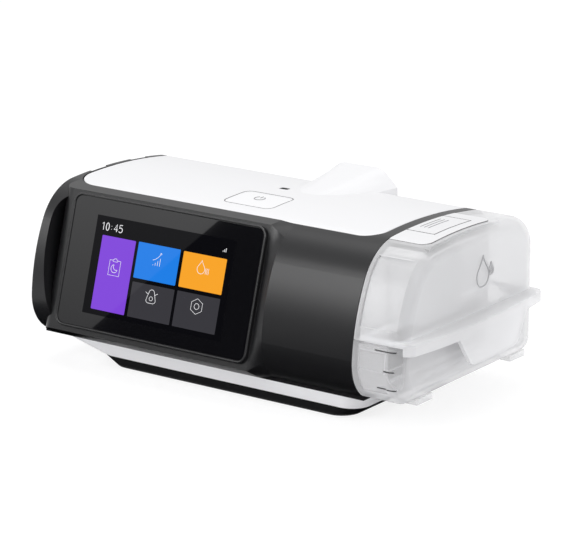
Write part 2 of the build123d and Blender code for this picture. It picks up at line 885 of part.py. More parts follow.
with BuildPart() as tank_bay:
    with BuildSketch(Plane.XY.offset(bay_floor - bay_wall)):
        add(
            plan_box(
                bay_left - bay_wall,
                housing_right - wall,
                bay_front - bay_wall,
                bay_rear + bay_wall,
                tongue_radius,
            )
        )
        add(
            plan_box(
                housing_right - wall - 2 * tongue_radius,
                housing_right - wall,
                bay_front - bay_wall,
                bay_rear + bay_wall,
                bay_wall / 2,
            )
        )
    extrude(amount=bay_top - bay_floor + 2 * bay_wall)
    with BuildSketch(Plane.XY.offset(bay_floor)):
        add(plan_box(bay_left, housing_right + wall, bay_front, bay_rear, bay_wall))
    extrude(amount=bay_top - bay_floor, mode=Mode.SUBTRACT)
    with BuildSketch(Plane.XY.offset(bay_floor)):
        with Locations((heater_x, bay_mid_y)):
            Rectangle(heater_length + 2 * fit_gap, heater_width + 2 * fit_gap)
    extrude(amount=-bay_wall, mode=Mode.SUBTRACT)
    with BuildSketch(Plane.XY.offset(tray_floor)):
        with Locations(*leg_spots):
            Circle(leg_radius)
    extrude(amount=bay_floor - tray_floor)

with BuildPart() as heater_plate:
    with BuildSketch(Plane.XY.offset(tongue_bottom - fit_gap)):
        with Locations((heater_x, bay_mid_y)):
            RectangleRounded(heater_length, heater_width, post_radius)
    extrude(amount=-heater_thickness)
    with BuildSketch(Plane.XY.offset(tray_floor)):
        with Locations((heater_x, bay_mid_y)):
            with GridLocations(heater_length / 2, heater_width / 2, 2, 2):
                Circle(leg_radius)
    extrude(amount=tongue_bottom - fit_gap - heater_thickness / 2 - tray_floor)

with BuildPart() as dock_seals:
    with BuildSketch(Plane.YZ.offset(housing_right - wall)):
        with Locations(supply_port, return_port):
            Circle(seal_radius + wall)
    extrude(amount=-bay_wall)
    with BuildSketch(Plane.XY.offset(bay_top + bay_wall + seat_gap)):
        Rectangle(2 * housing_length, 2 * housing_length)
    extrude(amount=housing_top, mode=Mode.INTERSECT)
    with BuildSketch(Plane.YZ.offset(housing_right - wall - bay_wall)):
        with Locations(supply_port, return_port):
            Circle(seal_radius)
    extrude(amount=wall + bay_wall + dock_gap - fit_gap)
    with BuildSketch(Plane.YZ.offset(housing_right - wall - 2 * bay_wall)):
        with Locations(supply_port, return_port):
            Circle(port_radius)
    extrude(amount=4 * wall, mode=Mode.SUBTRACT)

# ---------------------------------------------------------------- ducts
duct_end = housing_right - wall - bay_wall
duct_start = housing_left + blower_from_left + nozzle_length
with BuildPart() as supply_duct:
    with BuildSketch(Plane.YZ.offset(duct_start)):
        with Locations(supply_port):
            Circle(duct_radius)
            Circle(duct_radius - duct_wall, mode=Mode.SUBTRACT)
    extrude(amount=duct_end - duct_start)

duct_rear = housing_rear - 2 * wall
with BuildPart() as return_duct:
    with BuildLine() as duct_path:
        FilletPolyline(
            (duct_end, return_y, return_height),
            (outlet_x, return_y, return_height),
            (outlet_x, return_y + duct_climb_run, outlet_height),
            (outlet_x, duct_rear, outlet_height),
            radius=duct_bend_radius,
        )
    with BuildSketch(Plane(origin=duct_path.line @ 0, z_dir=duct_path.line % 0)):
        Circle(duct_radius)
        Circle(duct_radius - duct_wall, mode=Mode.SUBTRACT)
    sweep()

# ---------------------------------------------------------------- blower
blower_x = housing_left + blower_from_left
blower_y = housing_front + blower_setback
volute_top = supply_height + volute_height / 2
volute_bottom = supply_height - volute_height / 2
nozzle_y = supply_y - blower_y


def volute_point(turn, inset=0.0):
    """Point of the volute spiral after a share of a clockwise turn from +Y."""
    reach = volute_inner + (volute_outer - volute_inner) * turn - inset
    return (reach * math.sin(2 * math.pi * turn), reach * math.cos(2 * math.pi * turn))


def volute_outline(inset=0.0):
    """Spiral casing with its tangential nozzle, seen from above and centred on the shaft."""
    with BuildSketch() as outline:
        with BuildLine():
            Spline([volute_point(step / 8, inset) for step in range(9)])
            Line(volute_point(1, inset), volute_point(0, inset))
        make_face()
        with Locations((nozzle_length / 2, nozzle_y)):
            Rectangle(nozzle_length + 2 * inset, nozzle_width - 2 * inset)
    return outline.sketch


def on_shaft(height):
    """Plan plane at one height, centred on the blower shaft."""
    return Plane.XY.offset(height).shift_origin((blower_x, blower_y, height))


with BuildPart() as blower_casing:
    with BuildSketch(on_shaft(volute_bottom)):
        add(volute_outline())
    extrude(amount=volute_height / 2)
    with BuildSketch(on_shaft(volute_bottom + volute_wall)):
        add(volute_outline(volute_wall))
    extrude(amount=volute_height, mode=Mode.SUBTRACT)
    with BuildSketch(on_shaft(volute_bottom)):
        Circle(shaft_radius + running_gap)
    extrude(amount=volute_wall, mode=Mode.SUBTRACT)

with BuildPart() as blower_cover:
    with BuildSketch(on_shaft(supply_height)):
        add(volute_outline())
    extrude(amount=volute_height / 2)
    with BuildSketch(on_shaft(supply_height)):
        add(volute_outline(volute_wall))
    extrude(amount=volute_height / 2 - volute_wall, mode=Mode.SUBTRACT)
    with BuildSketch(on_shaft(volute_top - volute_wall)):
        Circle(port_radius + 2 * volute_wall)
    extrude(amount=2 * volute_wall)
    with BuildSketch(on_shaft(supply_height)):
        Circle(port_radius + volute_wall)
    extrude(amount=volute_height, mode=Mode.SUBTRACT)

impeller_bottom = volute_bottom + volute_wall + running_gap
motor_bottom = volute_bottom - motor_height
shaft_bottom = motor_bottom + wall + seat_gap
with BuildSketch() as blade:
    with BuildLine():
        camber = ThreePointArc(
            (hub_radius - blade_thickness, 0),
            ((hub_radius + impeller_radius) / 2, blade_sweep / 2),
            (impeller_radius - blade_thickness, 0),
        )
        offset(camber, amount=blade_thickness / 2, side=Side.BOTH)
    make_face()

with BuildPart() as impeller:
    with BuildSketch(on_shaft(impeller_bottom)):
        Circle(impeller_radius)
    extrude(amount=blade_thickness)
    with BuildSketch(on_shaft(impeller_bottom)):
        Circle(hub_radius)
    extrude(amount=impeller_height)
    fillet(impeller.faces().sort_by(Axis.Z)[-1].edges(), hub_radius / 3)
    with BuildSketch(on_shaft(impeller_bottom + blade_thickness / 2)):
        with PolarLocations(0, blade_count):
            add(blade.sketch)
    extrude(amount=impeller_height - blade_thickness)
    with BuildSketch(on_shaft(impeller_bottom)):
        Circle(shaft_radius)
    extrude(amount=shaft_bottom - impeller_bottom)

with BuildPart() as blower_motor:
    with BuildSketch(on_shaft(motor_bottom)):
        Circle(motor_radius)
    extrude(amount=motor_height)
    fillet(blower_motor.faces().sort_by(Axis.Z)[0].edges(), volute_wall)
    with BuildSketch(on_shaft(motor_bottom + wall)):
        Circle(bearing_radius)
    extrude(amount=motor_height, mode=Mode.SUBTRACT)

with BuildPart() as motor_bearings:
    for bearing_base in (motor_bottom + wall, volute_bottom - bearing_height):
        with BuildSketch(on_shaft(bearing_base)):
            Circle(bearing_radius - seat_gap / 2)
            Circle(shaft_radius + shaft_clearance, mode=Mode.SUBTRACT)
        extrude(amount=bearing_height)

mount_spacing = 2 * (motor_radius - mount_radius) / math.sqrt(2)
bracket_top = motor_bottom - mount_height
with BuildPart() as blower_mounts:
    with BuildSketch(on_shaft(bracket_top)):
        with GridLocations(mount_spacing, mount_spacing, 2, 2):
            Circle(mount_radius)
    extrude(amount=mount_height)

with BuildPart() as blower_bracket:
    with BuildSketch(on_shaft(bracket_top)):
        RectangleRounded(
            mount_spacing + 4 * mount_radius, mount_spacing + 4 * mount_radius, mount_radius
        )
    extrude(amount=-bracket_thickness)
    with BuildSketch(on_shaft(bracket_top)):
        with GridLocations(mount_spacing, mount_spacing, 2, 2):
            Circle(leg_radius)
    extrude(amount=tray_floor - bracket_top)

# ---------------------------------------------------------------- tank blocks
lid_bottom = tank_split + split_gap


def tank_block(inset, low, high, radius, closed_low):
    """Solid of the tank's section between two heights, rounded round its right end."""
    with BuildSketch() as outline:
        add(housing_section(inset, low, high))
        if closed_low:
            fillet(outline.vertices().group_by(Axis.Y)[0], tank_floor_radius - inset)
    open_height = high if closed_low else low
    with BuildPart() as block:
        with BuildSketch(Plane.YZ.offset(tank_left + inset)):
            add(outline.sketch)
        extrude(amount=tank_length - 2 * inset)
        rim = block.faces().sort_by(Axis.X)[-1].edges()
        fillet([edge for edge in rim if abs(edge.center().Z - open_height) > split_gap], radius)
    return block.part


def rim_ring(outer, inner, low, high):
    """Ring that follows the tank's rim between two insets and two heights."""
    with BuildPart() as ring:
        add(tank_block(outer, low, housing_top + tank_wall, tank_edge_radius - outer, False))
        add(
            tank_block(inner, low - wall, housing_top + tank_wall, tank_edge_radius - inner, False),
            mode=Mode.SUBTRACT,
        )
        with BuildSketch(Plane.XY.offset(high)):
            Rectangle(2 * housing_length, 2 * housing_length)
        extrude(amount=housing_top, mode=Mode.SUBTRACT)
    return ring.part


def front_recess(left, right, low, high):
    """Shallow window cut into the tank's curved front."""
    with BuildSketch() as skin:
        add(housing_section(-window_recess, low, high))
        add(housing_section(window_recess), mode=Mode.SUBTRACT)
        with Locations((housing_front, (low + high) / 2)):
            Rectangle(2 * crown_front_setback, high - low, mode=Mode.INTERSECT)
    with BuildPart() as recess:
        with BuildSketch(Plane.YZ.offset(left)):
            add(skin.sketch)
        extrude(amount=right - left)
    return recess.part


# ---------------------------------------------------------------- tank tub
tongue_top = tank_split - tank_wall
tongue_right = tank_left + tank_wall
hinge_x = (tank_left + tank_right) / 2
hinge_y = housing_rear + hinge_setback
ear_offset = knuckle_length / 2 + knuckle_gap


def hinge_plane(x):
    """Plane across the lid hinge, centred on its pin."""
    return Plane(origin=(x, hinge_y, hinge_height), x_dir=(0, 1, 0), z_dir=(1, 0, 0))


with BuildPart() as tank_tub:
    add(tank_block(0, tank_bottom, tank_split, tank_edge_radius, True))
    with BuildSketch(Plane.XY.offset(tongue_bottom)):
        add(plan_box(tongue_left, tongue_right, tongue_front, tongue_rear, tongue_radius))
        add(plan_box(tongue_right - 2 * tongue_radius, tongue_right, tongue_front, tongue_rear, split_gap))
    extrude(amount=tongue_top - tongue_bottom)
    add(
        tank_block(
            tank_wall, tank_bottom + tank_wall, tank_split + wall, tank_edge_radius - tank_wall, True
        ),
        mode=Mode.SUBTRACT,
    )
    with BuildSketch(Plane.XY.offset(tongue_bottom + tank_wall)):
        add(
            plan_box(
                tongue_left + tank_wall,
                tank_left,
                tongue_front + tank_wall,
                tongue_rear - tank_wall,
                tongue_radius - tank_wall,
            )
        )
    extrude(amount=tank_split, mode=Mode.SUBTRACT)
    with BuildSketch(Plane.XY.offset(tongue_bottom + tank_wall)):
        add(
            plan_box(
                tank_left - 2 * tongue_radius,
                tongue_right + split_gap,
                tongue_front + tank_wall,
                tongue_rear - tank_wall,
                split_gap,
            )
        )
    extrude(amount=tongue_top - tongue_bottom - 2 * tank_wall, mode=Mode.SUBTRACT)
    # heater opening in the tongue's floor
    with BuildSketch(Plane.XY.offset(tongue_bottom)):
        with Locations((heater_x, bay_mid_y)):
            RectangleRounded(heater_length, heater_width, post_radius)
    extrude(amount=tank_wall, mode=Mode.SUBTRACT)
    # inner ledge below the lid seal, and the recessed window in front
    add(
        rim_ring(
            tank_wall - seat_gap, tank_wall + seal_width + seat_gap, tongue_top, tank_split - seat_gap
        )
    )
    add(
        front_recess(
            tank_left + tub_window_left, tank_left + tub_window_right, tub_window_low, tub_window_high
        ),
        mode=Mode.SUBTRACT,
    )
    # feet and hinge ears
    with BuildSketch(Plane.XY.offset(tank_bottom + window_recess)):
        with Locations(*tub_foot_spots):
            RectangleRounded(tub_foot_length, tub_foot_width, window_recess)
    extrude(amount=-(tub_foot_height + window_recess))
    for side in (-1, 1):
        with BuildSketch(hinge_plane(hinge_x + side * ear_offset)):
            Circle(knuckle_radius)
            with Locations((-(hinge_setback + wall) / 2, 0)):
                Rectangle(hinge_setback + wall, 2 * knuckle_radius)
            Circle(hinge_pin_radius + hinge_clearance, mode=Mode.SUBTRACT)
        extrude(amount=side * ear_length)

with BuildPart() as tank_base_plate:
    with BuildSketch(Plane.XY.offset(tongue_bottom)):
        with Locations((heater_x, bay_mid_y)):
            RectangleRounded(
                heater_length - 2 * seat_gap,
                heater_width - 2 * seat_gap,
                post_radius - seat_gap,
            )
    extrude(amount=tank_wall)
    with BuildSketch(Plane.XY.offset(tongue_bottom + tank_wall)):
        with Locations((heater_x, bay_mid_y)):
            RectangleRounded(heater_length + 2 * plate_ledge, heater_width + 2 * plate_ledge, plate_ledge)
    extrude(amount=tank_plate_thickness)

with BuildPart() as tongue_cover:
    with BuildSketch(Plane.XY.offset(tongue_top)):
        add(plan_box(tongue_left, tank_left - seat_gap, tongue_front, tongue_rear, tongue_radius))
        add(
            plan_box(
                tank_left - 2 * tongue_radius, tank_left - seat_gap, tongue_front, tongue_rear, split_gap
            )
        )
    extrude(amount=tank_wall)
    with BuildSketch(Plane.XY.offset(tongue_top)):
        add(
            plan_box(
                tongue_left + tank_wall + seat_gap,
                tank_left - tank_wall,
                tongue_front + tank_wall + seat_gap,
                tongue_rear - tank_wall - seat_gap,
                tongue_radius - tank_wall - seat_gap,
            )
        )
    extrude(amount=-tank_wall)
    fillet(tongue_cover.faces().sort_by(Axis.Z)[-1].edges(), window_recess / 2)

with BuildPart() as hinge_pin:
    with BuildSketch(hinge_plane(hinge_x)):
        Circle(hinge_pin_radius)
    extrude(amount=ear_offset + ear_length, both=True)

# ---------------------------------------------------------------- tank lid
grip_right = housing_right + grip_reach
grip_front = housing_front + grip_side_inset
grip_rear = housing_rear - grip_side_inset
grip_low = tank_split - grip_drop
tab_y = housing_front + tab_setback
plate_front = housing_front + plate_front_setback
leaf_front = housing_front + leaf_front_setback
baffle_low = return_height - baffle_height / 2


def grip_outline(shrink=0.0):
    """Bowed plan outline of the lid's grip, outside the tank's right end."""
    with BuildSketch() as outline:
        with BuildLine():
            bow = ThreePointArc(
                (grip_right - grip_bow, grip_front),
                (grip_right, (grip_front + grip_rear) / 2),
                (grip_right - grip_bow, grip_rear),
            )
            Polyline(
                bow @ 1,
                (tank_right - tank_edge_radius, grip_rear),
                (tank_right - tank_edge_radius, grip_front),
                bow @ 0,
            )
        make_face()
        corners = outline.vertices().sort_by(Axis.X)[-2:]
        fillet(corners, grip_corner_radius)
        if shrink:
            offset(amount=-shrink)
    return outline.sketch


with BuildPart() as grip_body:
    with BuildSketch(Plane.XY.offset(grip_low)):
        add(grip_outline())
    extrude(amount=grip_height)
    grip_rim = grip_body.faces().sort_by(Axis.Z)[-1].edges().sort_by(Axis.X)
    fillet(grip_rim[1:], window_recess)

with BuildPart() as grip_tab:
    with BuildSketch(Plane.XY.offset(grip_low - tab_drop)):
        add(grip_outline())
        add(grip_outline(grip_wall), mode=Mode.SUBTRACT)
    extrude(amount=tab_drop + wall)
    with BuildSketch(Plane.YZ.offset(tank_right + grip_wall)) as tab_shape:
        with BuildLine():
            Polyline(
                (tab_y - tab_top_width / 2, grip_low + 2 * wall),
                (tab_y - tab_top_width / 2, grip_low),
                (tab_y - tab_bottom_width / 2, grip_low - tab_drop),
                (tab_y + tab_bottom_width / 2, grip_low - tab_drop),
                (tab_y + tab_top_width / 2, grip_low),
                (tab_y + tab_top_width / 2, grip_low + 2 * wall),
                close=True,
            )
        make_face()
        fillet(tab_shape.vertices().group_by(Axis.Y)[0], tab_radius)
    extrude(amount=grip_reach, mode=Mode.INTERSECT)

with BuildSketch() as plate_outline:
    add(plan_box(tank_left, tank_left + plate_length, plate_front, plate_front + plate_width, plate_radius))
    add(
        plan_box(
            tank_left, tank_left + plate_length / 2, plate_front, plate_front + plate_width, split_gap
        )
    )

with BuildPart() as plate_pad:
    with BuildSketch(Plane.YZ.offset(tank_left + fit_gap)):
        add(housing_section(split_gap, low=lid_bottom))
        add(housing_section(leaf_well + 2 * plate_thickness), mode=Mode.SUBTRACT)
    extrude(amount=plate_length + plate_radius / 2)
    with BuildSketch():
        with Locations((tank_left, plate_front + plate_width / 2)):
            Rectangle(2 * (plate_length + plate_radius / 2), plate_width + plate_radius)
    extrude(amount=2 * housing_top, mode=Mode.INTERSECT)

with BuildPart() as plate_seat:
    with BuildSketch(Plane.YZ.offset(tank_left - wall)):
        add(housing_section(-wall, low=lid_bottom))
        add(housing_section(plate_thickness + seat_gap), mode=Mode.SUBTRACT)
    extrude(amount=plate_length + wall + seat_gap)
    with BuildSketch():
        add(plate_outline.sketch)
        offset(amount=seat_gap)
    extrude(amount=2 * housing_top, mode=Mode.INTERSECT)

with BuildPart() as leaf_well_cut:
    with BuildSketch(Plane.YZ.offset(tank_left - wall)):
        add(housing_section(-wall, low=lid_bottom))
        add(housing_section(plate_thickness + leaf_well), mode=Mode.SUBTRACT)
    extrude(amount=leaf_length + leaf_gap + wall)
    with BuildSketch():
        with Locations((tank_left, leaf_front + leaf_width / 2)):
            Rectangle(4 * leaf_length, leaf_width + 2 * leaf_gap)
    extrude(amount=2 * housing_top, mode=Mode.INTERSECT)

with BuildPart() as tank_lid:
    add(tank_block(0, lid_bottom, housing_top + wall, tank_edge_radius, False))
    add(grip_body.part)
    add(grip_tab.part)
    with BuildSketch(Plane.XY.offset(grip_low)):
        add(grip_outline(grip_wall))
    extrude(amount=lid_bottom - grip_low, mode=Mode.SUBTRACT)
    with BuildSketch(Plane.XY.offset(grip_low)):
        add(
            plan_box(
                tank_left - wall,
                tank_right + grip_clearance,
                housing_front - wall,
                housing_rear + wall,
                wall,
            )
        )
    extrude(amount=lid_bottom - grip_low, mode=Mode.SUBTRACT)
    add(
        tank_block(
            tank_wall, lid_bottom - wall, housing_top + wall, tank_edge_radius - tank_wall, False
        ),
        mode=Mode.SUBTRACT,
    )
    add(plate_pad.part)
    add(plate_seat.part, mode=Mode.SUBTRACT)
    add(leaf_well_cut.part, mode=Mode.SUBTRACT)
    add(
        front_recess(
            tank_left + lid_window_left, tank_left + lid_window_right, lid_window_low, lid_window_high
        ),
        mode=Mode.SUBTRACT,
    )
    # air ports towards the housing
    with BuildSketch(Plane.YZ.offset(tank_left - wall)):
        with Locations(supply_port, return_port):
            Circle(port_radius)
    extrude(amount=2 * wall + tank_wall, mode=Mode.SUBTRACT)
    # hinge knuckle on its bracket
    with BuildSketch(hinge_plane(hinge_x)):
        Circle(knuckle_radius)
        with BuildLine():
            Polyline(
                (-knuckle_radius, 0),
                (-hinge_setback + seat_gap + split_gap, lid_bottom - hinge_height),
                (-hinge_setback - wall / 2, lid_bottom - hinge_height),
                (-hinge_setback - wall / 2, lid_bottom - hinge_height + 2 * wall),
                (0, lid_bottom - hinge_height + wall / 2),
                (knuckle_radius, 0),
                close=True,
            )
        make_face()
        Circle(hinge_pin_radius + hinge_clearance, mode=Mode.SUBTRACT)
    extrude(amount=knuckle_length / 2, both=True)

with BuildPart() as lid_seal:
    add(
        rim_ring(
            tank_wall + seat_gap, tank_wall + seal_width, lid_bottom - seal_reach, lid_bottom + seal_height
        )
    )

with BuildPart() as lid_baffle:
    with BuildSketch(Plane.XY.offset(baffle_low)):
        add(
            plan_box(
                tank_left + tank_wall + seat_gap,
                tank_left + tank_wall + baffle_length,
                return_y - baffle_width / 2,
                return_y + baffle_width / 2,
                baffle_wall,
            )
        )
    extrude(amount=baffle_height)
    with BuildSketch(Plane.XY.offset(baffle_low)):
        add(
            plan_box(
                tank_left + tank_wall + baffle_wall,
                tank_left + tank_wall + baffle_length - baffle_wall,
                return_y - baffle_width / 2 + baffle_wall,
                return_y + baffle_width / 2 - baffle_wall,
                baffle_wall / 2,
            )
        )
    extrude(amount=baffle_height - baffle_wall, mode=Mode.SUBTRACT)
    with BuildSketch(Plane.YZ.offset(tank_left)):
        with Locations(return_port):
            Circle(port_radius)
    extrude(amount=2 * tank_wall + baffle_wall, mode=Mode.SUBTRACT)

# ---------------------------------------------------------------- release plate and leaf
with BuildPart() as release_plate:
    with BuildSketch(Plane.YZ.offset(tank_left)):
        add(housing_section(-plate_proud, low=lid_bottom))
        add(housing_section(plate_thickness), mode=Mode.SUBTRACT)
    extrude(amount=plate_length)
    with BuildSketch():
        add(plate_outline.sketch)
        with Locations((tank_left, leaf_front + leaf_width / 2)):
            Rectangle(2 * (leaf_length + leaf_gap), leaf_width + 2 * leaf_gap, mode=Mode.SUBTRACT)
    extrude(amount=2 * housing_top, mode=Mode.INTERSECT)

with BuildPart() as release_leaf:
    with BuildSketch(Plane.YZ.offset(tank_left)):
        add(housing_section(-plate_proud, low=lid_bottom))
        add(housing_section(plate_thickness), mode=Mode.SUBTRACT)
    extrude(amount=leaf_length)
    with BuildSketch():
        with Locations((tank_left + leaf_length / 2, leaf_front + leaf_width / 2)):
            Rectangle(leaf_length, leaf_width)
    extrude(amount=2 * housing_top, mode=Mode.INTERSECT)

# ---------------------------------------------------------------- one file for each piece
pieces = {
    "front_shell": front_shell,
    "side_panel": side_panel,
    "filter_door": filter_door,
    "air_filter": air_filter,
    "screen_frame": screen_frame,
    "screen_glass": screen_glass,
    "display_module": display_module,
    "screen_board": screen_board,
    "top_cover": top_cover,
    "rear_cover": rear_cover,
    "power_button": power_button,
    "power_switch": power_switch,
    "status_window": status_window,
    "outlet_port": outlet_port,
    "power_inlet": power_inlet,
    "main_board": main_board,
    "bottom_tray": bottom_tray,
    "base_plate": base_plate,
    "base_feet": base_feet,
    "tank_bay": tank_bay,
    "heater_plate": heater_plate,
    "dock_seals": dock_seals,
    "supply_duct": supply_duct,
    "return_duct": return_duct,
    "blower_casing": blower_casing,
    "blower_cover": blower_cover,
    "blower_motor": blower_motor,
    "motor_bearings": motor_bearings,
    "blower_mounts": blower_mounts,
    "blower_bracket": blower_bracket,
    "impeller": impeller,
    "tank_tub": tank_tub,
    "tank_base_plate": tank_base_plate,
    "tongue_cover": tongue_cover,
    "hinge_pin": hinge_pin,
    "tank_lid": tank_lid,
    "lid_seal": lid_seal,
    "lid_baffle": lid_baffle,
    "release_plate": release_plate,
    "release_leaf": release_leaf,
}
for piece_name, piece in pieces.items():
    piece.part.label = piece_name
    export_step(piece.part, f"parts/{piece_name}.step")
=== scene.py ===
"""Dresses a bedside breathing-air machine with its screen, controls and water tank, in a plain studio."""

import logging
import math
from collections.abc import Iterable, Sequence
from dataclasses import dataclass, field
from enum import Enum

import bpy
from mathutils import Matrix, Vector


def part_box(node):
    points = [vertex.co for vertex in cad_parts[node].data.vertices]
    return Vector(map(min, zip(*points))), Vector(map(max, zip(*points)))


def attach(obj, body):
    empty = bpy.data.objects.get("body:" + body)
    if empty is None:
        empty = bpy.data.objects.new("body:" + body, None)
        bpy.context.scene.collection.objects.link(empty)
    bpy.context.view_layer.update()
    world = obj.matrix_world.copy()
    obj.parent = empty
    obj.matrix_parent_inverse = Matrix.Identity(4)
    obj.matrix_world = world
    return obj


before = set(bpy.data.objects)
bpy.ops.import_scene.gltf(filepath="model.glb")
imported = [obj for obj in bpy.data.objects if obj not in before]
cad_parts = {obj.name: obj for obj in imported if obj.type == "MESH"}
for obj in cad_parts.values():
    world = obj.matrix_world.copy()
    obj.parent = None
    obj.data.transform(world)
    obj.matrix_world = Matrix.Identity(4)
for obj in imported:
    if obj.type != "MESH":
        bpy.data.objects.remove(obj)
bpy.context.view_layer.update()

MM = 0.001
LOG = logging.getLogger("breathing_machine")

Colour = tuple[float, float, float]
Point = tuple[float, float]
Spot = tuple[float, float, float]

UNLIT_PICTURE: Colour = (0.006, 0.006, 0.007)
COAT_ROUGHNESS = 0.06
SMEAR_SCALE = 60.0
SMEAR_SPREAD = 0.15
GRAIN_DETAIL = 3.0
GRAIN_STRENGTH = 0.35
GRAIN_DARK, GRAIN_LIGHT = 0.3, 0.7
STEEP, LEVEL = 0.5, 0.8
EDGE_BLEND = 0.2
CORNER_SEGMENTS = 5
BEAD_ROUNDING = 1
WELD = 0.001 * MM
SMOOTH_BELOW = math.radians(50)
ICON_LINE = 0.14


class Grain(Enum):
    """Surface grain that a finish can carry."""

    SMOOTH = "smooth"
    MOULDED = "moulded"
    BRUSHED = "brushed"
    FIBRE = "fibre"


class Travel(Enum):
    """Axis along which a drawn line is laid onto a surface."""

    DOWN = "Z"
    REARWARD = "Y"


# ------------------------------------------------------------------ finishes
@dataclass(frozen=True)
class Finish:
    """One procedural surface finish, in the colours and gloss of a real material."""

    name: str
    colour: Colour
    roughness: float = 0.45
    metallic: float = 0.0
    specular: float = 0.5
    coat: float = 0.0
    alpha: float = 1.0
    grain: Grain = Grain.SMOOTH
    grain_scale: float = 900.0
    grain_depth: float = 0.0
    tone_spread: float = 0.0
    glow: float = 0.0
    # painted shade: steep sides take this darker colour in place of the shade that falls down in a gap
    side_colour: Colour | None = None
    side_middle: Spot = (0.0, 0.0, 0.0)
    side_reach: float = 0.0
    edge_alpha: float = 0.0

    def material(self) -> bpy.types.Material:
        """Finds or makes the material.

        Returns:
            The Blender material of this finish.
        """
        full_name = f"{self.name}_finish"
        known = bpy.data.materials.get(full_name)
        if known:
            return known
        made = bpy.data.materials.new(full_name)
        made.use_nodes = True
        shader = made.node_tree.nodes["Principled BSDF"]
        base = UNLIT_PICTURE if self.glow else self.colour
        shader.inputs["Base Color"].default_value = (*base, 1.0)
        shader.inputs["Roughness"].default_value = self.roughness
        shader.inputs["Metallic"].default_value = self.metallic
        shader.inputs["Specular IOR Level"].default_value = self.specular
        shader.inputs["Coat Weight"].default_value = self.coat
        shader.inputs["Coat Roughness"].default_value = COAT_ROUGHNESS
        shader.inputs["Alpha"].default_value = self.alpha
        if self.glow:
            shader.inputs["Emission Color"].default_value = (*self.colour, 1.0)
            shader.inputs["Emission Strength"].default_value = self.glow
        if self.grain is Grain.SMOOTH:
            self._add_smears(made.node_tree, shader)
        else:
            self._add_grain(made.node_tree, shader)
        if self.side_colour:
            self._add_painted_gap_shade(made.node_tree, shader)
        if self.edge_alpha:
            self._add_dense_edges(made.node_tree, shader)
        return made

    def _add_dense_edges(self, tree: bpy.types.NodeTree, shader: bpy.types.Node) -> None:
        """Makes a see-through wall denser where it is seen edge on.

        Args:
            tree: Node tree of the material.
            shader: Its Principled shader.
        """
        facing = tree.nodes.new("ShaderNodeLayerWeight")
        facing.inputs["Blend"].default_value = EDGE_BLEND
        level = tree.nodes.new("ShaderNodeMapRange")
        level.inputs["To Min"].default_value = self.alpha
        level.inputs["To Max"].default_value = self.edge_alpha
        tree.links.new(facing.outputs["Facing"], level.inputs["Value"])
        tree.links.new(level.outputs["Result"], shader.inputs["Alpha"])

    def _add_painted_gap_shade(self, tree: bpy.types.NodeTree, shader: bpy.types.Node) -> None:
        """Paints shade into the colour of steep sides, standing in for the shade down in a gap, all over or
        near one spot.

        Args:
            tree: Node tree of the material.
            shader: Its Principled shader.
        """
        surface = tree.nodes.new("ShaderNodeTexCoord")
        split = tree.nodes.new("ShaderNodeSeparateXYZ")
        level = tree.nodes.new("ShaderNodeMath")
        level.operation = "ABSOLUTE"
        ramp = tree.nodes.new("ShaderNodeValToRGB")
        ramp.color_ramp.elements[0].position = STEEP
        ramp.color_ramp.elements[0].color = (*self.side_colour, 1.0)
        ramp.color_ramp.elements[1].position = LEVEL
        ramp.color_ramp.elements[1].color = (*self.colour, 1.0)
        tree.links.new(surface.outputs["Normal"], split.inputs[0])
        tree.links.new(split.outputs["Z"], level.inputs[0])
        steep = level.outputs[0]
        if self.side_reach:
            distance = tree.nodes.new("ShaderNodeVectorMath")
            distance.operation = "DISTANCE"
            distance.inputs[1].default_value = self.side_middle
            beyond = tree.nodes.new("ShaderNodeMath")
            beyond.operation = "GREATER_THAN"
            beyond.inputs[1].default_value = self.side_reach
            either = tree.nodes.new("ShaderNodeMath")
            either.operation = "MAXIMUM"
            tree.links.new(surface.outputs["Object"], distance.inputs[0])
            tree.links.new(distance.outputs["Value"], beyond.inputs[0])
            tree.links.new(beyond.outputs[0], either.inputs[0])
            tree.links.new(steep, either.inputs[1])
            steep = either.outputs[0]
        # painted shade: the ramp puts the dark side colour into the base colour of steep faces
        tree.links.new(steep, ramp.inputs["Fac"])
        tree.links.new(ramp.outputs["Color"], shader.inputs["Base Color"])

    def _add_smears(self, tree: bpy.types.NodeTree, shader: bpy.types.Node) -> None:
        """Adds the faint gloss changes of a wiped smooth surface.

        Args:
            tree: Node tree of the material.
            shader: Its Principled shader.
        """
        place = tree.nodes.new("ShaderNodeTexCoord")
        noise = tree.nodes.new("ShaderNodeTexNoise")
        noise.inputs["Scale"].default_value = SMEAR_SCALE
        level = tree.nodes.new("ShaderNodeMapRange")
        level.inputs["To Min"].default_value = self.roughness * (1 - SMEAR_SPREAD)
        level.inputs["To Max"].default_value = self.roughness * (1 + SMEAR_SPREAD)
        tree.links.new(place.outputs["Object"], noise.inputs["Vector"])
        tree.links.new(noise.outputs["Fac"], level.inputs["Value"])
        tree.links.new(level.outputs["Result"], shader.inputs["Roughness"])

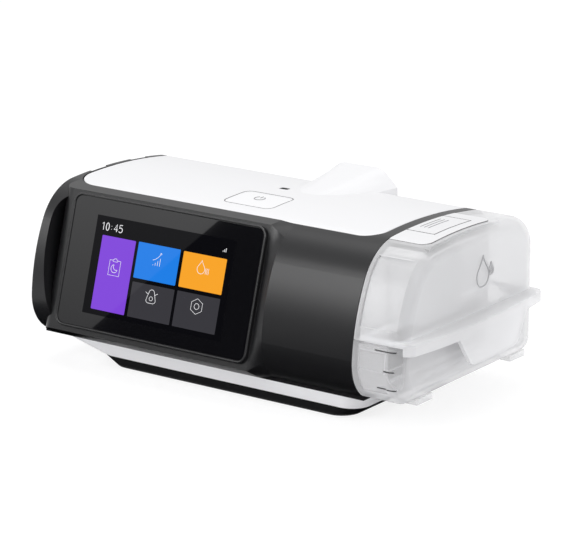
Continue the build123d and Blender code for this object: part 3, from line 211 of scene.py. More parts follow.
    def _add_grain(self, tree: bpy.types.NodeTree, shader: bpy.types.Node) -> None:
        """Adds the bump and the slight tone changes of the grain.

        Args:
            tree: Node tree of the material.
            shader: Its Principled shader.
        """
        place = tree.nodes.new("ShaderNodeTexCoord")
        mapping = tree.nodes.new("ShaderNodeMapping")
        noise = tree.nodes.new("ShaderNodeTexNoise")
        bump = tree.nodes.new("ShaderNodeBump")
        tree.links.new(place.outputs["Object"], mapping.inputs["Vector"])
        tree.links.new(mapping.outputs["Vector"], noise.inputs["Vector"])
        stretch = {
            Grain.MOULDED: (1.0, 1.0, 1.0),
            Grain.BRUSHED: (0.04, 1.0, 1.0),
            Grain.FIBRE: (0.35, 1.0, 0.35),
        }[self.grain]
        mapping.inputs["Scale"].default_value = stretch
        noise.inputs["Scale"].default_value = self.grain_scale
        noise.inputs["Detail"].default_value = GRAIN_DETAIL
        bump.inputs["Strength"].default_value = GRAIN_STRENGTH
        bump.inputs["Distance"].default_value = self.grain_depth
        tree.links.new(noise.outputs["Fac"], bump.inputs["Height"])
        tree.links.new(bump.outputs["Normal"], shader.inputs["Normal"])
        if self.tone_spread:
            ramp = tree.nodes.new("ShaderNodeValToRGB")
            ramp.color_ramp.elements[0].position = GRAIN_DARK
            ramp.color_ramp.elements[1].position = GRAIN_LIGHT
            darker = [part * (1 - self.tone_spread) for part in self.colour]
            lighter = [min(1.0, part * (1 + self.tone_spread)) for part in self.colour]
            ramp.color_ramp.elements[0].color = (*darker, 1.0)
            ramp.color_ramp.elements[1].color = (*lighter, 1.0)
            tree.links.new(noise.outputs["Fac"], ramp.inputs["Fac"])
            tree.links.new(ramp.outputs["Color"], shader.inputs["Base Color"])


def moulded(name: str, colour: Colour, roughness: float, **more: float | Colour) -> Finish:
    """Injection-moulded plastic with a fine even grain.

    Args:
        name: Material name.
        colour: Linear colour.
        roughness: Microscopic roughness.
        **more: Other fields of Finish.

    Returns:
        The finish.
    """
    return Finish(
        name,
        colour,
        roughness=roughness,
        grain=Grain.MOULDED,
        grain_scale=2600.0,
        grain_depth=0.00003,
        tone_spread=0.03,
        **more,
    )


HOUSING_BLACK = moulded("housing_black", (0.008, 0.008, 0.009), 0.34, specular=0.42)
# painted shade: the cover, button and plate whites get a dark colour on their steep sides for the shade in
# the gaps round them
COVER_WHITE = moulded(
    "cover_white", (0.79, 0.79, 0.80), 0.42,
    side_colour=(0.13, 0.13, 0.13), side_middle=(-0.0125, -0.5, 0.104), side_reach=0.509,
)
BUTTON_WHITE = moulded("button_white", (0.83, 0.83, 0.84), 0.36, side_colour=(0.10, 0.10, 0.10))
PANEL_WHITE = moulded("panel_white", (0.76, 0.76, 0.77), 0.45)
PLATE_WHITE = moulded("plate_white", (0.76, 0.76, 0.77), 0.4, side_colour=(0.14, 0.14, 0.14))
TRAY_WHITE = moulded("tray_white", (0.88, 0.88, 0.89), 0.44)
BASE_BLACK = moulded("base_black", (0.008, 0.008, 0.009), 0.55, specular=0.25)
FRAME_BLACK = moulded("frame_black", (0.011, 0.011, 0.012), 0.22, specular=0.5)
INNER_BLACK = moulded("inner_black", (0.03, 0.03, 0.032), 0.6)
BAY_GREY = moulded("bay_grey", (0.34, 0.34, 0.35), 0.5)
SCREEN_GLASS = Finish("screen_glass", (0.004, 0.004, 0.005), roughness=0.015, specular=0.5, coat=0.3)
DISPLAY_DARK = Finish("display_dark", (0.003, 0.003, 0.004), roughness=0.015, specular=0.1)
SMOKED_WINDOW = Finish("smoked_window", (0.003, 0.003, 0.003), roughness=0.5, specular=0.05)
CIRCUIT_GREEN = moulded("circuit_green", (0.015, 0.10, 0.04), 0.35)
FOOT_RUBBER = moulded("foot_rubber", (0.02, 0.02, 0.02), 0.85)
SEAL_SILICONE = moulded("seal_silicone", (0.80, 0.81, 0.83), 0.6)
BARE_ALUMINIUM = Finish(
    "bare_aluminium", (0.72, 0.72, 0.74), roughness=0.3, metallic=1.0,
    grain=Grain.BRUSHED, grain_scale=1800.0, grain_depth=0.00002, tone_spread=0.06,
)
MOTOR_STEEL = Finish(
    "motor_steel", (0.56, 0.56, 0.58), roughness=0.28, metallic=1.0,
    grain=Grain.BRUSHED, grain_scale=1500.0, grain_depth=0.00002, tone_spread=0.05,
)
IMPELLER_WHITE = moulded("impeller_white", (0.7, 0.7, 0.68), 0.5)
FILTER_FIBRE = Finish(
    "filter_fibre", (0.72, 0.75, 0.80), roughness=0.95,
    grain=Grain.FIBRE, grain_scale=700.0, grain_depth=0.0004, tone_spread=0.12,
)
TANK_CLEAR = Finish(
    "tank_clear", (0.86, 0.86, 0.87), roughness=0.2, alpha=0.23, edge_alpha=0.85,
    grain=Grain.MOULDED, grain_scale=260.0, grain_depth=0.00004,
)
TANK_FROSTED = Finish(
    "tank_frosted", (0.86, 0.86, 0.87), roughness=0.32, alpha=0.33, edge_alpha=0.9,
    grain=Grain.MOULDED, grain_scale=420.0, grain_depth=0.00005,
)
BAFFLE_MILKY = Finish(
    "baffle_milky", (0.40, 0.41, 0.42), roughness=0.4, alpha=0.7,
    grain=Grain.MOULDED, grain_scale=420.0, grain_depth=0.00005,
)
LINE_BLACK = Finish("line_black", (0.03, 0.03, 0.032), roughness=0.5)
LINE_GREY = Finish("line_grey", (0.30, 0.30, 0.31), roughness=0.5)
MARK_GREY = Finish("mark_grey", (0.42, 0.42, 0.43), roughness=0.4)
SYMBOL_GREY = Finish("symbol_grey", (0.16, 0.16, 0.17), roughness=0.5)
ICON_WHITE = Finish("icon_white", (0.88, 0.88, 0.90), roughness=0.1, glow=1.0)
TILE_VIOLET = Finish("tile_violet", (0.214, 0.056, 0.70), roughness=0.02, specular=0.15, glow=1.0)
TILE_BLUE = Finish("tile_blue", (0.008, 0.205, 0.79), roughness=0.02, specular=0.15, glow=1.0)
TILE_AMBER = Finish("tile_amber", (0.94, 0.372, 0.018), roughness=0.02, specular=0.15, glow=1.0)
TILE_SLATE = Finish("tile_slate", (0.036, 0.035, 0.041), roughness=0.02, specular=0.15, glow=1.0)

NODE_FINISH: dict[str, Finish] = {
    "front_shell": HOUSING_BLACK,
    "side_panel": PANEL_WHITE,
    "filter_door": PANEL_WHITE,
    "air_filter": FILTER_FIBRE,
    "screen_frame": FRAME_BLACK,
    "screen_glass": SCREEN_GLASS,
    "display_module": INNER_BLACK,
    "screen_board": CIRCUIT_GREEN,
    "top_cover": COVER_WHITE,
    "rear_cover": HOUSING_BLACK,
    "power_button": BUTTON_WHITE,
    "power_switch": INNER_BLACK,
    "status_window": SMOKED_WINDOW,
    "outlet_port": HOUSING_BLACK,
    "power_inlet": INNER_BLACK,
    "main_board": CIRCUIT_GREEN,
    "bottom_tray": TRAY_WHITE,
    "base_plate": BASE_BLACK,
    "base_feet": FOOT_RUBBER,
    "tank_bay": BAY_GREY,
    "heater_plate": BARE_ALUMINIUM,
    "dock_seals": SEAL_SILICONE,
    "supply_duct": INNER_BLACK,
    "return_duct": INNER_BLACK,
    "blower_casing": INNER_BLACK,
    "blower_cover": INNER_BLACK,
    "blower_motor": MOTOR_STEEL,
    "motor_bearings": MOTOR_STEEL,
    "blower_mounts": FOOT_RUBBER,
    "blower_bracket": INNER_BLACK,
    "impeller": IMPELLER_WHITE,
    "tank_tub": TANK_CLEAR,
    "tank_base_plate": BARE_ALUMINIUM,
    "tongue_cover": TANK_FROSTED,
    "hinge_pin": MOTOR_STEEL,
    "tank_lid": TANK_FROSTED,
    "lid_seal": SEAL_SILICONE,
    "lid_baffle": BAFFLE_MILKY,
    "release_plate": PLATE_WHITE,
    "release_leaf": PLATE_WHITE,
}


# ------------------------------------------------------------------ modelling tools
def deselect() -> None:
    """Leaves edit mode and deselects everything."""
    if bpy.context.mode != "OBJECT":
        bpy.ops.object.mode_set(mode="OBJECT")
    bpy.ops.object.select_all(action="DESELECT")


def choose(piece: bpy.types.Object) -> None:
    """Makes one piece the only selected and active one.

    Args:
        piece: The piece to work on next.
    """
    deselect()
    piece.select_set(True)
    bpy.context.view_layer.objects.active = piece


def settle(piece: bpy.types.Object, place: Matrix) -> bpy.types.Object:
    """Moves a piece to its place and writes that place into its mesh.

    Args:
        piece: The piece, modelled in its own local frame in metres.
        place: Local frame of the piece on the machine.

    Returns:
        The same piece, with its object at the origin.
    """
    choose(piece)
    piece.matrix_world = place @ piece.matrix_world
    bpy.ops.object.transform_apply(location=True, rotation=True, scale=True)
    return piece


def dress(piece: bpy.types.Object, finish: Finish, body: str) -> bpy.types.Object:
    """Gives a piece its finish and the body that it rides on.

    Args:
        piece: The finished piece.
        finish: Its surface finish.
        body: Moving body of the machine that carries it.

    Returns:
        The same piece.
    """
    piece.data.materials.clear()
    piece.data.materials.append(finish.material())
    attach(piece, body)
    LOG.info("%s rides on %s, finish %s", piece.name, body, finish.name)
    return piece


def rounded_plate(
    name: str, width: float, height: float, radius: float, thickness: float
) -> bpy.types.Object:
    """Thin plate with rounded corners, lying in the local XY plane.

    Args:
        name: Piece name.
        width: Size along local X.
        height: Size along local Y.
        radius: Corner radius.
        thickness: Size along local Z, from zero up.

    Returns:
        The new piece.
    """
    deselect()
    bpy.ops.mesh.primitive_plane_add(size=1.0)
    plate = bpy.context.active_object
    plate.name = name
    plate.scale = (width, height, 1.0)
    bpy.ops.object.transform_apply(location=False, rotation=False, scale=True)
    bpy.ops.object.mode_set(mode="EDIT")
    bpy.ops.mesh.select_all(action="SELECT")
    if radius:
        bpy.ops.mesh.bevel(offset=radius, offset_type="OFFSET", segments=CORNER_SEGMENTS, affect="VERTICES")
    bpy.ops.mesh.select_all(action="SELECT")
    bpy.ops.mesh.extrude_region_move(TRANSFORM_OT_translate={"value": (0, 0, thickness)})
    bpy.ops.mesh.select_all(action="SELECT")
    bpy.ops.mesh.normals_make_consistent(inside=False)
    bpy.ops.object.mode_set(mode="OBJECT")
    return plate


def draw_path(name: str, points: Sequence[Sequence[float]], closed: bool) -> bpy.types.Object:
    """Chain of straight edges through points, extruded vertex by vertex.

    Args:
        name: Piece name.
        points: Two or three local coordinates for each corner, in metres.
        closed: Whether the last corner joins the first.

    Returns:
        A wire object.
    """
    spots = [Vector((*point, 0.0)[:3]) for point in points]
    deselect()
    bpy.ops.mesh.primitive_plane_add(size=MM)
    path = bpy.context.active_object
    path.name = name
    bpy.ops.object.mode_set(mode="EDIT")
    bpy.ops.mesh.select_all(action="SELECT")
    bpy.ops.mesh.merge(type="CENTER")
    bpy.ops.transform.translate(value=spots[0])
    for here, there in zip(spots, spots[1:]):
        bpy.ops.mesh.extrude_region_move(TRANSFORM_OT_translate={"value": there - here})
    if closed:
        bpy.ops.mesh.extrude_region_move(TRANSFORM_OT_translate={"value": spots[0] - spots[-1]})
        bpy.ops.mesh.select_all(action="SELECT")
        bpy.ops.mesh.remove_doubles(threshold=WELD)
    bpy.ops.object.mode_set(mode="OBJECT")
    return path


def lay_onto(path: bpy.types.Object, target: bpy.types.Object, travel: Travel) -> None:
    """Lays a wire onto the surface of a target, straight along one axis.

    Args:
        path: Wire, already in its place above the surface.
        target: Object that receives the wire.
        travel: Axis of the move.
    """
    choose(path)
    bpy.ops.object.modifier_add(type="SHRINKWRAP")
    wrap = path.modifiers[-1]
    wrap.target = target
    wrap.wrap_method = "PROJECT"
    wrap.use_project_z = travel is Travel.DOWN
    wrap.use_project_y = travel is Travel.REARWARD
    wrap.use_positive_direction = travel is Travel.REARWARD
    wrap.use_negative_direction = travel is Travel.DOWN
    bpy.ops.object.modifier_apply(modifier=wrap.name)


def thicken(path: bpy.types.Object, radius: float) -> bpy.types.Object:
    """Turns a wire into a round bead.

    Args:
        path: Wire object.
        radius: Radius of the bead.

    Returns:
        The same object, as a closed mesh.
    """
    choose(path)
    bpy.ops.object.convert(target="CURVE")
    bead = bpy.context.active_object
    bead.data.bevel_depth = radius
    bead.data.bevel_resolution = BEAD_ROUNDING
    bead.data.use_fill_caps = True
    bpy.ops.object.convert(target="MESH")
    bead = bpy.context.active_object
    bpy.ops.object.shade_smooth_by_angle(angle=SMOOTH_BELOW)
    return bead


def arc(centre: Point, radius: float, start: float, end: float, steps: int = 16) -> list[Point]:
    """Points along a circular arc.

    Args:
        centre: Centre of the circle.
        radius: Its radius.
        start: First angle in degrees.
        end: Last angle in degrees.
        steps: Number of chords.

    Returns:
        The points, first and last included.
    """
    turns = [math.radians(start + (end - start) * step / steps) for step in range(steps + 1)]
    return [(centre[0] + radius * math.cos(turn), centre[1] + radius * math.sin(turn)) for turn in turns]


def drop_points(width: float, height: float, steps: int = 20, flank_curve: float = 1.25) -> list[Point]:
    """Closed outline of a water drop, round below and pointed above.

    Args:
        width: Widest size.
        height: Size from the tip to the round bottom.
        steps: Number of chords round the lower part.
        flank_curve: Power by which the flanks curve in; one makes them straight.

    Returns:
        The points, without a repeated first one.
    """
    radius = width / 2
    low = arc((0.0, -height / 2 + radius), radius, -210.0, 30.0, steps)
    tip = (0.0, height / 2)
    wide, start = low[-1]
    rise = [
        (wide * (1 - share) ** flank_curve, start + (tip[1] - start) * share) for share in (0.3, 0.6, 0.85)
    ]
    return [*low, *rise, tip, *[(-x, y) for x, y in reversed(rise)]]


def scaled(points: Iterable[Sequence[float]], centre: Point = (0.0, 0.0)) -> list[tuple[float, ...]]:
    """Moves millimetre points to a centre and turns them into metres."""
    shift = (*centre, 0.0)
    return [tuple((part + move) * MM for part, move in zip(point, shift)) for point in points]


def join(pieces: Sequence[bpy.types.Object], name: str) -> bpy.types.Object:
    """Joins pieces into one object.

    Args:
        pieces: Meshes of one finish.
        name: Name of the result.

    Returns:
        The joined object.
    """
    choose(pieces[0])
    for piece in pieces[1:]:
        piece.select_set(True)
    if len(pieces) > 1:
        bpy.ops.object.join()
    joined = bpy.context.active_object
    joined.name = name
    joined.data.name = name
    return joined


# ------------------------------------------------------------------ screen
@dataclass
class TouchScreen:
    """Lit picture of the tilted touch screen, drawn on its cover glass."""

    tilt: float = 16.6
    glass_size: Point = (136.0, 75.6)
    glass_thickness: float = 1.6
    display_low: Point = (17.4, 8.3)
    display_high: Point = (118.2, 66.2)
    film: float = 0.03
    picture_radius: float = 0.4
    tile_radius: float = 0.5
    clock_middle: Point = (29.6, 60.2)
    clock_scale: float = 1.15
    clock_line: float = 0.23
    signal_corner: Point = (109.9, 58.7)
    signal_bar: Point = (0.4, 0.7)
    signal_pitch: float = 1.0
    signal_step: float = 0.8
    signal_bars: int = 3
    body: str = "base_unit"
    slot: str = "screen_glass"
    tiles: dict[str, tuple[float, float, float, float, Finish]] = field(
        default_factory=lambda: {
            "report": (23.2, 11.5, 48.0, 55.0, TILE_VIOLET),
            "ramp": (50.2, 34.2, 80.7, 55.2, TILE_BLUE),
            "moisture": (83.1, 34.3, 113.8, 54.9, TILE_AMBER),
            "mask": (50.3, 11.4, 81.0, 31.9, TILE_SLATE),
            "setup": (83.1, 11.4, 113.7, 32.0, TILE_SLATE),
        }
    )

    def place(self, across: float, up: float, lift: float = 0.0) -> Matrix:
        """Local frame on the glass.

        Args:
            across: Distance from the glass's left edge, in millimetres.
            up: Distance from its lower edge.
            lift: Distance in front of it.

        Returns:
            Frame with local X across, Y up the glass and Z out of it.
        """
        lean = math.radians(self.tilt)
        up_way = Vector((0.0, math.sin(lean), math.cos(lean)))
        out_way = Vector((0.0, -math.cos(lean), math.sin(lean)))
        low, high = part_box("screen_glass")
        spot = (Vector(low) + Vector(high)) / 2
        spot += Vector((1.0, 0.0, 0.0)) * (across - self.glass_size[0] / 2) * MM
        spot += up_way * (up - self.glass_size[1] / 2) * MM
        spot += out_way * (lift + self.glass_thickness / 2) * MM
        turn = Matrix((Vector((1.0, 0.0, 0.0)), up_way, out_way)).transposed().to_4x4()
        return Matrix.Translation(spot) @ turn

    def block(
        self, name: str, low: Point, high: Point, radius: float, lift: float, finish: Finish
    ) -> bpy.types.Object:
        """Flat coloured area of the picture.

        Args:
            name: Piece name.
            low: Lower left corner on the glass.
            high: Upper right corner.
            radius: Corner radius.
            lift: Height of its underside above the glass.
            finish: Its finish.

        Returns:
            The new piece.
        """
        width, height = (high[0] - low[0]) * MM, (high[1] - low[1]) * MM
        plate = rounded_plate(name, width, height, radius * MM, self.film * MM)
        settle(plate, self.place((low[0] + high[0]) / 2, (low[1] + high[1]) / 2, lift))
        return dress(plate, finish, self.body)

    def icon(
        self, name: str, centre: Point, strokes: Sequence[tuple[list[Point], bool]], line: float = ICON_LINE
    ) -> bpy.types.Object:
        """Line drawing on the screen.

        Args:
            name: Piece name.
            centre: Its middle on the glass.
            strokes: Lines in millimetres round that middle, each with whether it is closed.
            line: Half the thickness of the lines.

        Returns:
            The new piece.
        """
        beads = [
            thicken(draw_path(f"{name}_{count}", scaled(points), closed), line * MM)
            for count, (points, closed) in enumerate(strokes)
        ]
        drawn = join(beads, name)
        settle(drawn, self.place(*centre, 3 * self.film))
        return dress(drawn, ICON_WHITE, self.body)

    def draw_report(self) -> None:
        """Clipboard with a crescent moon."""
        board = [(-1.6, 4.1), (-4.0, 4.1), (-4.0, -4.7), (4.0, -4.7), (4.0, 4.1), (1.6, 4.1)]
        clip_left = [(-1.6, 3.4), (-1.6, 4.6), (-0.7, 4.6), (-0.7, 5.2)]
        clip = [*clip_left, *[(-x, y) for x, y in reversed(clip_left)]]
        moon = arc((0.0, -0.6), 2.4, 110.0, 340.0) + arc((1.1, 0.5), 1.9, 298.0, 152.0)
        self.icon("icon_report", (35.6, 37.5), [(board, False), (clip, True), (moon, True)])

    def draw_ramp(self) -> None:
        """Rising bars under a curve that ends in a ring."""
        tops = ((-2.4, -3.7), (-0.8, -2.6), (0.8, -1.3), (2.4, 0.2))
        bars = [([(x, -4.2), (x, top)], False) for x, top in tops]
        rise = [(-2.8, -1.2), (-1.4, -0.7), (0.0, 0.2), (1.2, 1.4), (2.1, 2.6)]
        knob = arc((2.4, 3.0), 0.45, 0.0, 330.0, 10)
        self.icon("icon_ramp", (65.1, 47.5), [*bars, (rise, False), (knob, True)])

    def draw_moisture(self) -> None:
        """Drop with three wisps of mist beside it."""
        wisp = ((0.0, -3.6), (0.35, -2.5), (-0.1, -1.4), (0.4, -0.2))
        mist = [([(start + x, y) for x, y in wisp], False) for start in (2.1, 3.1, 4.1)]
        drop = [(x - 1.2, y) for x, y in drop_points(5.4, 7.8)]
        self.icon("icon_moisture", (98.1, 47.7), [(drop, True), *mist])

    def draw_mask(self) -> None:
        """Nasal mask with its vent and two straps."""
        shell = [
            *arc((-1.7, -2.0), 1.7, 180.0, 270.0, 6),
            *arc((1.7, -2.0), 1.7, 270.0, 360.0, 6),
            *arc((0.0, 2.2), 2.0, 10.0, 170.0, 10),
        ]
        vent = arc((0.0, -1.0), 1.2, 0.0, 330.0, 12)
        straps = ([(-4.4, 2.4), (-2.2, 1.2)], [(4.4, 2.4), (2.2, 1.2)])
        strokes = [(shell, True), (vent, True), *[(strap, False) for strap in straps]]
        self.icon("icon_mask", (65.3, 25.1), strokes)

    def draw_setup(self) -> None:
        """Hexagon nut with its bore."""
        nut = arc((0.0, 0.0), 4.5, 90.0, 390.0, 5)
        bore = arc((0.0, 0.0), 1.7, 0.0, 340.0, 17)
        self.icon("icon_setup", (98.2, 25.1), [(nut, True), (bore, True)])

    def draw_clock(self) -> None:
        """Time of day, digit by digit."""
        one = [(-0.55, 1.2), (0.25, 1.9), (0.25, -1.9)]
        zero = [(0.95 * x, 1.9 * y) for x, y in arc((0.0, 0.0), 1.0, 90.0, 432.0, 19)]
        four = [(0.55, -1.9), (0.55, 1.9), (-1.1, -0.75), (1.15, -0.75)]
        five = [(0.95, 1.9), (-0.7, 1.9), (-0.85, 0.2), *arc((-0.05, -0.65), 1.2, 125.0, -140.0, 12)]
        digits = ((one, False, -6.0), (zero, True, -3.2), (four, False, 2.2), (five, False, 5.2))
        lines = [([(x + shift, y) for x, y in points], closed) for points, closed, shift in digits]
        lines += [([(-0.6, y - 0.1), (-0.6, y + 0.1)], False) for y in (-1.0, 0.6)]
        size = self.clock_scale
        strokes = [([(size * x, size * y) for x, y in line], closed) for line, closed in lines]
        self.icon("screen_clock", self.clock_middle, strokes, self.clock_line)

    def draw_signal(self) -> None:
        """Upright bars, each taller than the one before."""
        left, foot = self.signal_corner
        width, height = self.signal_bar
        lift = 2 * self.film
        bars = []
        for count in range(self.signal_bars):
            start = left + self.signal_pitch * count
            far = (start + width, foot + height + self.signal_step * count)
            bars.append(self.block(f"signal_{count}", (start, foot), far, 0.0, lift, ICON_WHITE))
        dress(join(bars, "screen_signal"), ICON_WHITE, self.body)

    def build(self) -> None:
        """Builds the whole picture."""
        low, high = self.display_low, self.display_high
        self.block("screen_picture", low, high, self.picture_radius, 0.0, DISPLAY_DARK)
        for name, (left, foot, right, top, finish) in self.tiles.items():
            self.block(f"tile_{name}", (left, foot), (right, top), self.tile_radius, self.film, finish)
        self.draw_report()
        self.draw_ramp()
        self.draw_moisture()
        self.draw_mask()
        self.draw_setup()
        self.draw_clock()
        self.draw_signal()


# ------------------------------------------------------------------ top and controls
@dataclass
class TopControls:
    """Symbol of the power button, and a dark line round its edge that is painted shade of the gap around it.
    """

    middle: Point = (-12.5, -17.5)
    radius: float = 3.2
    bar_shares: tuple[float, ...] = (0.15, 0.5, 0.85, 1.2)
    line: float = 0.24
    corner_radius: float = 4.6
    corner_steps: int = 6
    edge_inset: float = 0.1
    gap_shade_line: float = 0.2
    edge_steps: int = 8
    above: float = 120.0
    body: str = "button_cap"
    slot: str = "cover_white"

    def lay(self, name: str, lines: Sequence[list[Point]], closed: bool, line: float, finish: Finish) -> None:
        """Lays lines onto the curved button.

        Args:
            name: Piece name.
            lines: Points of each line, seen from above.
            closed: Whether the lines are closed.
            line: Half the thickness of the lines.
            finish: Their finish.
        """
        beads = []
        for count, points in enumerate(lines):
            path = draw_path(f"{name}_{count}", scaled([(*point, self.above) for point in points]), closed)
            lay_onto(path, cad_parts["power_button"], Travel.DOWN)
            beads.append(thicken(path, line * MM))
        dress(join(beads, name), finish, self.body)

    def gap_shade_points(self) -> list[Point]:
        """Rounded rectangle just inside the button's edge, in short steps along its curved sides, that
        carries the painted gap shade line.

        Returns:
            Its points, seen from above in millimetres.
        """
        low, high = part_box("power_button")
        inset = self.edge_inset + self.corner_radius
        left, front = (part / MM + inset for part in low[:2])
        right, rear = (part / MM - inset for part in high[:2])
        up = [front + (rear - front) * step / self.edge_steps for step in range(1, self.edge_steps)]
        radius, steps = self.corner_radius, self.corner_steps
        return [
            *arc((left, front), radius, 180.0, 270.0, steps),
            *arc((right, front), radius, 270.0, 360.0, steps),
            *[(right + radius, y) for y in up],
            *arc((right, rear), radius, 0.0, 90.0, steps),
            *arc((left, rear), radius, 90.0, 180.0, steps),
            *[(left - radius, y) for y in reversed(up)],
        ]

    def build(self) -> None:
        """Lays the on-off symbol and the dark line of painted shade round the button's edge."""
        ring = arc(self.middle, self.radius, 125.0, 415.0, 24)
        bar = [(self.middle[0], self.middle[1] + self.radius * share) for share in self.bar_shares]
        self.lay("power_symbol", [ring, bar], False, self.line, SYMBOL_GREY)
        # painted shade: a dark line that stands in for the shadow in the gap round the button
        self.lay("button_gap_shade_line", [self.gap_shade_points()], True, self.gap_shade_line, SYMBOL_GREY)


# ------------------------------------------------------------------ water tank
@dataclass
class WaterTank:
    """Level lines, the drop mark and the grip lines of the water tank."""

    right_face: float = 126.0
    drop_middle: Point = (4.8, 79.5)
    drop_size: Point = (12.6, 18.2)
    small_drop_middle: Point = (13.4, 79.5)
    small_drop_size: Point = (4.6, 7.0)
    small_drop_rings: tuple[float, ...] = (1.0, 0.62, 0.24)
    front_start: float = -100.0
    level_lines: tuple[Spot, ...] = (
        (109.0, 122.0, 51.3),
        (115.0, 121.5, 40.3),
        (109.0, 121.5, 29.1),
    )
    level_line: float = 0.38
    drop_line: float = 0.5
    grip_line: float = 0.24
    grip_lines: tuple[float, ...] = (98.0, 100.6, 103.2)
    grip_run: Point = (-17.0, 4.0)
    above: float = 120.0
    steps: int = 12
    tub_body: str = "tank_body"
    lid_body: str = "lid_body"
    leaf_body: str = "leaf_body"

    def build(self) -> None:
        """Builds all marks of the tank."""
        self.build_levels()
        self.build_drops()
        self.build_grip_lines()

    def spread(self, start: float, end: float) -> list[float]:
        """Evenly spaced places from start to end."""
        return [start + (end - start) * share / self.steps for share in range(self.steps + 1)]

    def build_levels(self) -> None:
        """Lays the three level lines onto the tub's front."""
        beads = []
        for count, (left, right, height) in enumerate(self.level_lines):
            run = self.spread(left, right)
            path = draw_path(f"level_{count}", scaled([(x, self.front_start, height) for x in run]), False)
            lay_onto(path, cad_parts["tank_tub"], Travel.REARWARD)
            beads.append(thicken(path, self.level_line * MM))
        dress(join(beads, "level_lines"), LINE_BLACK, self.tub_body)

    def build_drops(self) -> None:
        """Raises the outline of a large drop and a small filled one on the lid's right end."""
        turn = Matrix(((0, 0, 1, self.right_face * MM), (1, 0, 0, 0), (0, 1, 0, 0), (0, 0, 0, 1)))
        rings = [(self.drop_middle, drop_points(*self.drop_size))]
        for share in self.small_drop_rings:
            small = drop_points(*(part * share for part in self.small_drop_size))
            rings.append((self.small_drop_middle, small))
        beads = [
            thicken(draw_path(f"drop_{count}", scaled(points, centre), True), self.drop_line * MM)
            for count, (centre, points) in enumerate(rings)
        ]
        drops = join(beads, "drop_marks")
        settle(drops, turn)
        dress(drops, MARK_GREY, self.lid_body)

    def build_grip_lines(self) -> None:
        """Lays the grip lines onto the pressed leaf."""
        beads = []
        for count, x in enumerate(self.grip_lines):
            run = self.spread(*self.grip_run)
            path = draw_path(f"grip_{count}", scaled([(x, y, self.above) for y in run]), False)
            lay_onto(path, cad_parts["release_leaf"], Travel.DOWN)
            beads.append(thicken(path, self.grip_line * MM))
        dress(join(beads, "leaf_grip_lines"), LINE_GREY, self.leaf_body)


# ------------------------------------------------------------------ studio
@dataclass(frozen=True)
class Lamp:
    """Soft rectangular lamp: its place and size in millimetres, its power in watts."""

    name: str
    spot: Spot
    size: Point
    power: float


@dataclass(frozen=True)
class Card:
    """Flat card that only reflections see, with the brightness of its lower and upper edge."""

    name: str
    corners: tuple[Spot, Spot, Spot, Spot]
    low: float = 0.0
    high: float = 0.0


LAMPS = (
    Lamp("overhead_lamp", (-150.0, 250.0, 1500.0), (1500.0, 1200.0), 7.3),
    Lamp("front_lamp", (-500.0, -1500.0, 900.0), (900.0, 700.0), 13.0),
    Lamp("side_lamp", (1500.0, -200.0, 700.0), (700.0, 900.0), 7.0),
)
CARDS = (
    Card(
        "dark_flag",
        ((-524.0, -764.0, 300.0), (-785.0, -796.0, 5.0), (87.0, -1466.0, 5.0), (110.0, -1251.0, 300.0)),
    ),
    Card(
        "reflector",
        (
            (-1150.0, -620.0, 430.0),
            (-1150.0, -620.0, 60.0),
            (-250.0, -1330.0, 60.0),
            (-250.0, -1330.0, 430.0),
        ),
        low=0.15,
        high=1.5,
    ),
    Card(
        "softbox",
        (
            (-1120.0, -780.0, 490.0),
            (-406.0, -1320.0, 490.0),
            (-430.0, -1350.0, 730.0),
            (-1144.0, -810.0, 730.0),
        ),
        low=5.0,
        high=5.0,
    ),
    # painted shade: a black card, seen only in reflections, that stands in for the shaded floor just in front
    # of the machine
    Card(
        "floor_shade_card",
        ((-185.0, -500.0, 2.0), (400.0, -500.0, 2.0), (400.0, 0.0, 2.0), (-185.0, 0.0, 2.0)),
    ),
)


